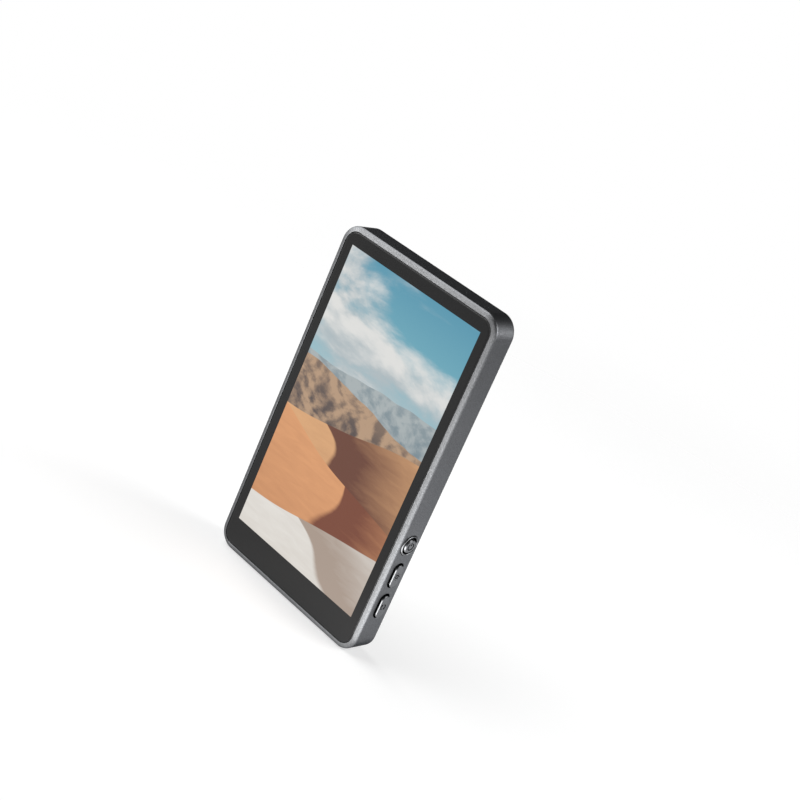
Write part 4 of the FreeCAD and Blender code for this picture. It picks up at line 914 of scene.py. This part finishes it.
# %% Button caps
CAP_BEVEL = {"power": 0.00034, "brightness": 0.00021, "rotate": 0.00021}
CAP_SOFT = 0.00005
MARK_HEIGHT = 0.00006
# Cap ring tones: painted highlight on the bevel, painted shade on the head's walls and at the
# bevel's upper end.
CAP_LIGHT_AND_SHADE_TONES = (0.5, 0.55, 0.75, 0.75, 0.08, 0.0, 0.0, 0.0, 0.0, 0.0)
END_FADE = 0.0006
BEVEL_END_SHADE = 0.25
HEAD_LIFT = 0.0005
HEAD_FOOT = HALF_WIDTH - WALL + HEAD_LIFT
NECK_RADIUS = 0.0015
NECK_RUN = 0.0003
FLANGE_GAP = 0.00005
FLANGE_FACE = HALF_WIDTH - WALL - FLANGE_GAP
FLANGE_RUN = {"power": 0.0023, "brightness": 0.0039, "rotate": 0.0039}


def oblong_ring(half_run, radius, steps=20):
    """Points round an oblong along Z: two half circles of a radius, half_run from the middle."""
    angle = np.linspace(0, np.pi, steps + 1)
    y, z = radius * np.cos(angle), radius * np.sin(angle) + half_run
    return np.concatenate([np.stack([y, z], 1), np.stack([-y, -z], 1)])


def stacked(centre, rings):
    """Oblong rings of (half_run, radius, x) stacked along X, with a flat cap on each end."""
    grid = np.stack([
        np.insert(oblong_ring(run, radius), 0, 0.0, axis=1) + (x, centre.y, centre.z)
        for run, radius, x in rings
    ])
    return grid, grid_quads(*grid.shape[:2]), end_caps(*grid.shape[:2])


def cap_rings(name, top):
    """The rings of one cap, from its flat top to the rear of its flange."""
    run, radius, bevel = CAP_RUN[name], CAP_RADIUS[name], CAP_BEVEL[name]
    flange = FLANGE_RUN[name]
    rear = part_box(f"{name}_button")[0].x
    return (
        (run, radius - bevel - CAP_SOFT, top),
        (run, radius - bevel, top - 0.25 * CAP_SOFT),
        (run, radius - bevel + 0.5 * CAP_SOFT, top - 0.75 * CAP_SOFT),
        (run, radius - 0.5 * CAP_SOFT, top - bevel - 0.25 * CAP_SOFT),
        (run, radius, top - bevel - CAP_SOFT),
        (run, radius, HEAD_FOOT),
        (NECK_RUN, NECK_RADIUS, HEAD_FOOT),
        (NECK_RUN, NECK_RADIUS, FLANGE_FACE),
        (flange, NECK_RADIUS, FLANGE_FACE),
        (flange, NECK_RADIUS, rear),
    )


def cap_light_and_shade(offsets, run):
    """Tones of a cap's points: a painted highlight on the bevel's flanks fading to painted shade
    round its upper end.
    """
    plain = np.array(CAP_LIGHT_AND_SHADE_TONES)[:, None]
    climb = np.clip((offsets[:, :, 2] - run) / END_FADE, 0, 1)
    return np.where(plain > SIDE_TONE, plain - (plain - BEVEL_END_SHADE) * climb, plain)


cap_tops = {}
for name in BUTTONS:
    cap_tops[name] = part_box(f"{name}_button")[1].x - MARK_HEIGHT
    part = stacked(button_middles[name], cap_rings(name, cap_tops[name]))
    tone = cap_light_and_shade(part[0] - np.array(button_middles[name]), CAP_RUN[name])
    cap = make_piece(f"{name}_cap", [part], f"{name}_button", cap_finish, tone)
    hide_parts(f"{name}_button")

# %% [markdown]
# A mark is a low ridge carried along a path on the cap's top. The path's own direction, turned by a
# quarter, gives the way across, so one function makes rings, arcs and bars. A dot is a dome. A Text
# object could supply such signs, but then they would depend on a font.

# %% Raised marks
RIDGE = 0.00040
RIDGE_FOOT, RIDGE_TOP = 0.5, 0.42
MARK_SINK = 0.00004
DOME_ROWS, DOME_POINTS, DOME_TURN = 5, 20, 0.47 * np.pi


def ridge(path, closed, top, centre, width=RIDGE):
    """A low flat-topped ridge along a path of (y, z) points, on a cap's top."""
    if closed:
        along = np.roll(path, -1, 0) - np.roll(path, 1, 0)
    else:
        along = np.gradient(path, axis=0)
    along = along / np.linalg.norm(along, axis=1, keepdims=True)
    aside = np.stack([-along[:, 1], along[:, 0]], 1)
    foot, flat_top = (RIDGE_FOOT, -MARK_SINK), (RIDGE_TOP, MARK_HEIGHT)
    section = np.array([(-foot[0], foot[1]), (-flat_top[0], flat_top[1]), flat_top, foot])
    flat = path[:, None, :] + width * section[None, :, :1] * aside[:, None, :]
    rise = np.broadcast_to(top + section[None, :, 1:], (*flat.shape[:2], 1))
    grid = np.concatenate([rise, flat + (centre.y, centre.z)], -1)
    size = grid.shape[:2]
    return grid, grid_quads(*size, closed_rows=closed), () if closed else end_caps(*size)


def arc_path(radius, start, end, steps=32):
    """Points of an arc of (y, z), with angles in degrees from +Z."""
    angle = np.radians(np.linspace(start, end, steps))
    return radius * np.stack([np.sin(angle), np.cos(angle)], 1)


def bar_path(first, last, steps=3):
    """Points along a straight bar."""
    return np.linspace(first, last, steps)


def dome(place, radius, top, centre):
    """A round dot: rings of radius cos a at a height of sin a, closed by its small top ring."""
    rise = np.linspace(0, DOME_TURN, DOME_ROWS)
    level = top - MARK_SINK + (MARK_SINK + MARK_HEIGHT) * np.sin(rise)
    x, y, z = turned(radius * np.cos(rise), level, DOME_POINTS)
    grid = np.stack([x, centre.y + place[0] + y, centre.z + place[1] + z], -1)
    return grid, grid_quads(*y.shape), end_caps(*y.shape)


print("marks stand", MARK_HEIGHT, "m above the caps")

# %% The three marks
POWER_RADIUS, POWER_GAP, POWER_BAR = 0.00115, 38, (0.00035, 0.0014)
SUN_RADIUS, SUN_STEPS = 0.00058, 48
DOT_CIRCLE, DOT_RADIUS, DOT_STEP = 0.00118, 0.00022, 45
ARROW_RADIUS, ARROW_START, ARROW_END = 0.00092, 20, 150
BARB_LENGTH, BARB_TURNS, BARB_WIDTH = 0.00055, (10, 85), 0.8 * RIDGE


def power_mark(top, centre):
    """A ring with a gap at the top and a bar in the gap."""
    return [
        ridge(arc_path(POWER_RADIUS, POWER_GAP, 360 - POWER_GAP), False, top, centre),
        ridge(bar_path((0, POWER_BAR[0]), (0, POWER_BAR[1])), False, top, centre),
    ]


def brightness_mark(top, centre):
    """A ring with eight dots round it."""
    angle = np.radians(np.arange(0, 360, DOT_STEP))
    dots = DOT_CIRCLE * np.stack([np.sin(angle), np.cos(angle)], 1)
    ring_end = 360 * (SUN_STEPS - 1) / SUN_STEPS
    sun = [ridge(arc_path(SUN_RADIUS, 0, ring_end, SUN_STEPS), True, top, centre)]
    return sun + [dome(dot, DOT_RADIUS, top, centre) for dot in dots]


def rotate_mark(top, centre):
    """Two arcs that chase each other, each with an arrow head."""
    marks = []
    for turn in (0, 180):
        start, end = turn + ARROW_START, turn + ARROW_END
        marks.append(ridge(arc_path(ARROW_RADIUS, start, end), False, top, centre))
        tip = arc_path(ARROW_RADIUS, end, end, 2)[0]
        for barb in arc_path(BARB_LENGTH, turn + BARB_TURNS[0], turn + BARB_TURNS[1], 2):
            marks.append(ridge(bar_path(tip, tip + barb), False, top, centre, BARB_WIDTH))
    return marks


for name, maker in zip(BUTTONS, (power_mark, brightness_mark, rotate_mark)):
    marks = maker(cap_tops[name], button_middles[name])
    heights = np.concatenate([mark[0].reshape(-1, 3)[:, 0] for mark in marks])
    filled = np.where(heights > cap_tops[name], SHADE_AND_PRINT_TONE, SIDE_TONE)
    make_piece(f"{name}_mark", marks, f"{name}_button", cap_finish, filled)

# %% [markdown]
# ## The ring round the power button
# A turned ring sits in a seat in the frame and stands a little proud. A torus is round all the way,
# and this ring needs a straight foot in its seat, so its section is a half ellipse on a foot,
# carried round a circle.

# %% Power ring
ring_low, ring_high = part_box("power_button_ring")
RING_OUT = (ring_high.z - ring_low.z) / 2
RING_IN = POWER_HOLE
RING_TONE = 0.42
# The ring's painted highlight, strongest on the side that faces the strip lamp.
RING_PAINTED_HIGHLIGHT = 0.38
RING_HIGHLIGHT_SIDE = (0.0, -0.94, -0.34)


def turned_ring(centre, inner, outer, foot, shoulder, top, steps=72):
    """A ring about X: the section is a half ellipse over a foot, as (radius, x) pairs."""
    arch = np.linspace(0, np.pi, 15)
    across = (inner + outer) / 2 + (outer - inner) / 2 * np.cos(arch)
    radius = np.concatenate([across, [inner, outer]])
    level = np.concatenate([shoulder + (top - shoulder) * np.sin(arch), [foot, foot]])
    x, y, z = turned(radius, level, steps)
    grid = np.stack([x, centre.y + y, centre.z + z], -1)
    return grid, grid_quads(*y.shape, closed_rows=True), ()


ring_levels = (ring_low.x, frame_high.x, ring_high.x)
ring_part = turned_ring(button_middles["power"], RING_IN, RING_OUT, *ring_levels)
ring_offsets = ring_part[0] - np.array(button_middles["power"])
# Painted highlight on the side towards the strip lamp, and painted shade on the part buried in the
# seat.
painted_ring_highlight = np.clip(ring_offsets @ np.array(RING_HIGHLIGHT_SIDE) / RING_OUT, 0, 1)
buried = ring_part[0][:, :, 0] < frame_high.x - WELD
ring_tone = np.where(buried, SHADE_AND_PRINT_TONE, RING_TONE + RING_PAINTED_HIGHLIGHT * painted_ring_highlight)
ring = make_piece("power_ring", [ring_part], "housing", cap_finish, ring_tone)
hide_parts("power_button_ring")

# %% [markdown]
# ## The soft pad at the rear
# A disc of soft rubber covers the magnets, so that the rear neither slips nor scratches. It is
# a turned shape: flat in the middle, a fine groove on each side of the magnet ring, and a rounded
# edge. A bump could draw the grooves, but cut into the mesh they are part of the piece's shape.

# %% Soft pad
PAD_EDGE = 0.0004
GROOVE_WIDTH = 0.0005
GROOVE_DEPTH = 0.00016
GROOVES = (0.0222, 0.0277)
PLAIN_START, PLAIN_END, PLAIN_RINGS = 0.004, 0.0214, 8
FINE_START, FINE_RINGS = 0.0216, 90
FINE_MARGIN = 1.05 * PAD_EDGE
EDGE_RINGS = 9
RUBBER_DARK, RUBBER_DUSTY = (0.028, 0.029, 0.032), (0.050, 0.051, 0.055)
PEBBLE_SCALE, PEBBLE_DEPTH, PEBBLE_BUMP = 1900.0, 0.00010, 0.5
DUST_SCALE, DUST_ROUGH = 70.0, (0.62, 0.80)


def soft_rubber(name):
    """Dark rubber with fine pebbles and a dusty sheen."""
    rubber = Finish(name, Sheen_Weight=0.25, Sheen_Roughness=0.5, Specular_IOR_Level=0.35)
    dust = rubber.noise(DUST_SCALE, 4.0, 0.6)
    rubber.shade(Base_Color=rubber.mix(dust, RUBBER_DARK, RUBBER_DUSTY))
    rubber.shade(Roughness=rubber.scale(dust, *DUST_ROUGH))
    rubber.bump(rubber.cells(PEBBLE_SCALE), PEBBLE_DEPTH, PEBBLE_BUMP)
    return rubber.material


def pad_levels(radius, reach):
    """Depth below the pad's face: two smooth grooves and a quarter-round edge."""
    widths = [(radius - at) / (GROOVE_WIDTH / 2) for at in GROOVES]
    grooves = sum(GROOVE_DEPTH * np.exp(-(width**2)) for width in widths)
    inside = np.clip((radius - (reach - PAD_EDGE)) / PAD_EDGE, 0, 1)
    return grooves + PAD_EDGE * (1 - np.sqrt(1 - inside**2))


def turned_disc(low, high, steps=160):
    """A disc about Y: rings at the depth that pad_levels gives, and a flat underside."""
    reach = (high.x - low.x) / 2
    plain = np.linspace(PLAIN_START, PLAIN_END, PLAIN_RINGS)
    fine = np.linspace(FINE_START, reach - FINE_MARGIN, FINE_RINGS)
    edge = reach - PAD_EDGE * (1 - np.sin(np.linspace(0, np.pi / 2, EDGE_RINGS)))
    radius = np.concatenate([plain, fine, edge])
    level = high.y - pad_levels(radius, reach)
    y, x, z = turned(np.append(radius, reach), np.append(level, low.y), steps)
    return np.stack([x, y, z], -1), grid_quads(*x.shape), end_caps(*x.shape)


pad_finish = soft_rubber("soft_pad_finish")
pad_part = turned_disc(*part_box("rear_pad"))
pad = make_piece("rubber_pad", [pad_part], "housing", pad_finish)
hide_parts("rear_pad")

# %% [markdown]
# ## Finishes for the packed pieces
# The other pieces keep their packed shape. What shows of them is the rear cover, its screws and the
# socket; the rest lies inside and still gets the finish that such a piece has when it is opened.
# Each packed material slot has one finish here. Plastics and metals differ only in colour, grain
# and gloss, so two recipes read from tables make most of them.


# %% Moulded plastic and drawn metal
PLASTICS = {
    "backlight": ((0.70, 0.71, 0.72), (0.80, 0.80, 0.81), 0.0005, 0.40),
    "clear_film": ((0.60, 0.63, 0.65), (0.70, 0.72, 0.74), 0.0008, 0.22),
    "black_tape": ((0.010, 0.010, 0.010), (0.022, 0.022, 0.023), 0.0004, 0.70),
    "rear_plastic": ((0.020, 0.021, 0.023), (0.032, 0.033, 0.036), 0.00024, 0.56),
    "chip_black": ((0.014, 0.014, 0.015), (0.026, 0.026, 0.028), 0.0001, 0.50),
    "connector_plastic": ((0.016, 0.016, 0.017), (0.030, 0.030, 0.032), 0.0002, 0.46),
    "lead_black": ((0.012, 0.012, 0.013), (0.024, 0.024, 0.026), 0.0002, 0.45),
}
DRAWN_METALS = {
    "magnet": ((0.48, 0.47, 0.44), (0.62, 0.60, 0.56), 0.26, (1, 1, 1)),
    "steel": ((0.40, 0.40, 0.41), (0.56, 0.56, 0.57), 0.34, (30, 1, 1)),
    "screw_steel": ((0.16, 0.16, 0.17), (0.30, 0.30, 0.31), 0.32, (1, 6, 1)),
    "brass_spacer": ((0.50, 0.33, 0.11), (0.66, 0.46, 0.18), 0.30, (1, 8, 1)),
    "socket_steel": ((0.46, 0.46, 0.47), (0.64, 0.64, 0.65), 0.24, (1, 1, 25)),
}
DRAWN_GRAIN, DRAWN_DEPTH, DRAWN_BUMP = 0.00012, 0.00001, 0.4
DRAWN_SMOOTHER, DRAWN_ROUGHER = 0.06, 0.10
MOULD_CLOUD, MOULD_DEPTH, MOULD_BUMP = 28.0, 0.35, 0.5


def moulded_plastic(name, dark, light, grain, rough):
    """Plastic from a spark-eroded mould: an even fine grain with faint mottling."""
    plastic = Finish(name)
    pits = plastic.noise(1 / grain, 2.0, 0.5)
    cloud = plastic.noise(MOULD_CLOUD, 3.0, 0.55)
    plastic.shade(Base_Color=plastic.mix(cloud, dark, light))
    plastic.shade(Roughness=plastic.scale(pits, rough - SMOOTHER, rough + ROUGHER))
    plastic.bump(pits, MOULD_DEPTH * grain, MOULD_BUMP)
    return plastic.material


def drawn_metal(name, colour, pale, rough, stretch):
    """Metal with fine drawing lines: noise stretched along one axis."""
    metal = Finish(name, metallic=1.0)
    along = metal.stretch([1 / (DRAWN_GRAIN * share) for share in stretch])
    lines = metal.noise(1.0, 3.0, 0.6, 0.0, along)
    metal.shade(Base_Color=metal.mix(lines, colour, pale))
    metal.shade(Roughness=metal.scale(lines, rough - DRAWN_SMOOTHER, rough + DRAWN_ROUGHER))
    metal.bump(lines, DRAWN_DEPTH, DRAWN_BUMP)
    return metal.material


finishes = {
    "frame_metal": frame_finish,
    "cap_metal": cap_finish,
    "front_glass": glass_finish,
    "soft_pad": pad_finish,
}
for maker, recipes in ((moulded_plastic, PLASTICS), (drawn_metal, DRAWN_METALS)):
    for slot, recipe in recipes.items():
        finishes[slot] = maker(f"{slot}_finish", *recipe)
print("plastics:", len(PLASTICS), "drawn metals:", len(DRAWN_METALS))


# %% Foil, board, film and display
FOIL_DARK, FOIL_PALE, FOIL_ROUGH = (0.42, 0.43, 0.45), (0.60, 0.61, 0.62), (0.30, 0.46)
FOIL_FOLDS, FOLD_EDGE, FOLD_DEPTH = 260.0, (0.0, 0.25), 0.00008
TRACK_GREEN, MASK_GREEN, MASK_ROUGH = (0.05, 0.20, 0.09), (0.012, 0.085, 0.04), (0.32, 0.46)
TRACK_SCALE, TRACK_EDGE, TRACK_SLOPE, TRACK_DEPTH = 420.0, (0.04, 0.09), (0.02, 0.10), 0.00002
FILM_AMBER, FILM_COPPER, FILM_ROUGH = (0.34, 0.13, 0.02), (0.52, 0.24, 0.06), (0.28, 0.42)
FILM_LINES, FILM_EDGE = 14.0, (-0.2, 0.3)
CELL_DARK, CELL_PALE, CELL_ROUGH = (0.012, 0.012, 0.014), (0.022, 0.022, 0.025), (0.20, 0.32)


def foil_pouch(name):
    """Crinkled silver foil of a flat cell."""
    foil = Finish(name, metallic=0.9)
    creases = foil.cells(FOIL_FOLDS, "DISTANCE_TO_EDGE")
    cloud = foil.noise(60.0, 3.0)
    foil.shade(Base_Color=foil.mix(cloud, FOIL_DARK, FOIL_PALE))
    foil.shade(Roughness=foil.scale(cloud, *FOIL_ROUGH))
    foil.bump(foil.step(creases, *FOLD_EDGE), FOLD_DEPTH, 0.5)
    return foil.material


def solder_mask(name):
    """Green board with copper tracks that show paler under the mask."""
    board = Finish(name, Coat_Weight=0.3)
    tracks = board.cells(TRACK_SCALE, "DISTANCE_TO_EDGE", board.stretch((1, 0.01, 1)))
    glint = board.noise(900.0, 2.0)
    board.shade(Base_Color=board.mix(board.step(tracks, *TRACK_EDGE), TRACK_GREEN, MASK_GREEN))
    board.shade(Roughness=board.scale(glint, *MASK_ROUGH))
    board.bump(board.step(tracks, *TRACK_SLOPE, 1.0, 0.0), TRACK_DEPTH, 0.6)
    return board.material


def amber_film(name):
    """Amber flexible print with copper lines along its length."""
    film = Finish(name)
    weave = film.noise(1.0, 0.0, 0.5, 0.0, film.stretch((900, 4, 4)))
    lines = film.step(film.sum("SINE", film.sum("MULTIPLY", weave, FILM_LINES)), *FILM_EDGE)
    film.shade(Base_Color=film.mix(lines, FILM_AMBER, FILM_COPPER))
    film.shade(Roughness=film.scale(film.noise(500.0), *FILM_ROUGH))
    return film.material


def lit_panel(name):
    """The display cell itself, with the same picture as the glass above it."""
    cell = Finish(name, Emission_Strength=PICTURE_GLOW)
    cell.shade(Base_Color=cell.mix(cell.noise(600.0), CELL_DARK, CELL_PALE))
    cell.shade(Emission_Color=cell.mix(picture_share(cell), (0, 0, 0), landscape(cell)))
    cell.shade(Roughness=cell.scale(cell.noise(300.0), *CELL_ROUGH))
    return cell.material


OTHERS = {
    "picture": lit_panel,
    "cell_pouch": foil_pouch,
    "circuit_board": solder_mask,
    "flex_amber": amber_film,
}
for slot, maker in OTHERS.items():
    finishes[slot] = maker(f"{slot}_finish")
for node in nodes.values():
    packed = node.data.materials[0].name
    node.material_slots[0].material = finishes[packed]
print("finishes on packed pieces:", len(finishes))

# %% [markdown]
# ## The floor
# The floor is a white sheet under the monitor that fades to clear, so it melts into the white wall
# of the room. Half of its white is painted by light and half is its own glow, so it stays white
# where the lamps fall off, and still takes a shadow. The camera sees that glow in full. Reflections
# see the whole sheet with a weaker glow, and a painted pool of light beside the button side, a glow
# that only reflections see, which makes the metal there paler towards its foot.

# %% Floor
FLOOR_GAP = 0.00005
FLOOR_REACH = 0.9
FADE_START, FADE_END = 0.16, 0.50
FLOOR_WHITE = 0.54
FLOOR_GLOW = 0.52
FLOOR_MIRRORED = 0.22
# Strength of the painted pool of light beside the button side, which only reflections see.
PAINTED_POOL_GLOW = 0.70
POOL_PLACE = (0.085, 0.07)
POOL_START, POOL_END = 0.04, 0.18
MOTTLE_SCALE, MOTTLE = 30.0, 0.01
FLOOR_SQUARE = ((-1, -1, 0), (1, -1, 0), (1, 1, 0), (-1, 1, 0))


def fading(paint, place, start, end):
    """1 near a place (x, y) on the floor, falling to 0 between two distances from it."""
    length = paint.add("ShaderNodeVectorMath", operation="LENGTH")
    paint.feed(length.inputs[0], paint.stretch((1, 1, 0), shift=(-place[0], -place[1], 0)))
    return paint.step(length.outputs["Value"], start, end, 1.0, 0.0)


corners = FLOOR_REACH * np.array(FLOOR_SQUARE) + (0, 0, cad_low.z - FLOOR_GAP)
floor_mesh = bpy.data.meshes.new("floor")
floor_mesh.from_pydata(corners.tolist(), [], [(0, 1, 2, 3)])
floor = bpy.data.objects.new("floor", floor_mesh)
bpy.context.scene.collection.objects.link(floor)
white = Finish("floor_white", Roughness=0.9, Specular_IOR_Level=0.0, Emission_Color=(1, 1, 1, 1))
mottle = white.noise(MOTTLE_SCALE)
white.shade(Base_Color=white.mix(mottle, (FLOOR_WHITE,) * 3, (FLOOR_WHITE + MOTTLE,) * 3))
rays = white.add("ShaderNodeLightPath")
glow = white.sum("MULTIPLY", rays.outputs["Is Camera Ray"], FLOOR_GLOW)
fade = fading(white, (0.0, 0.0), FADE_START, FADE_END)
# The painted pool of light: a glow on the floor beside the foot of the button side.
painted_pool = fading(white, POOL_PLACE, POOL_START, POOL_END)
mirrored = white.sum("MULTIPLY_ADD", painted_pool, PAINTED_POOL_GLOW, white.sum("MULTIPLY", fade, FLOOR_MIRRORED))
mirrored = white.sum("MULTIPLY", mirrored, rays.outputs["Is Glossy Ray"])
white.shade(Emission_Strength=white.sum("ADD", glow, mirrored))
white.shade(Alpha=white.sum("MAXIMUM", fade, rays.outputs["Is Glossy Ray"]))
floor_mesh.materials.append(white.material)
print("floor at", round(cad_low.z, 5))
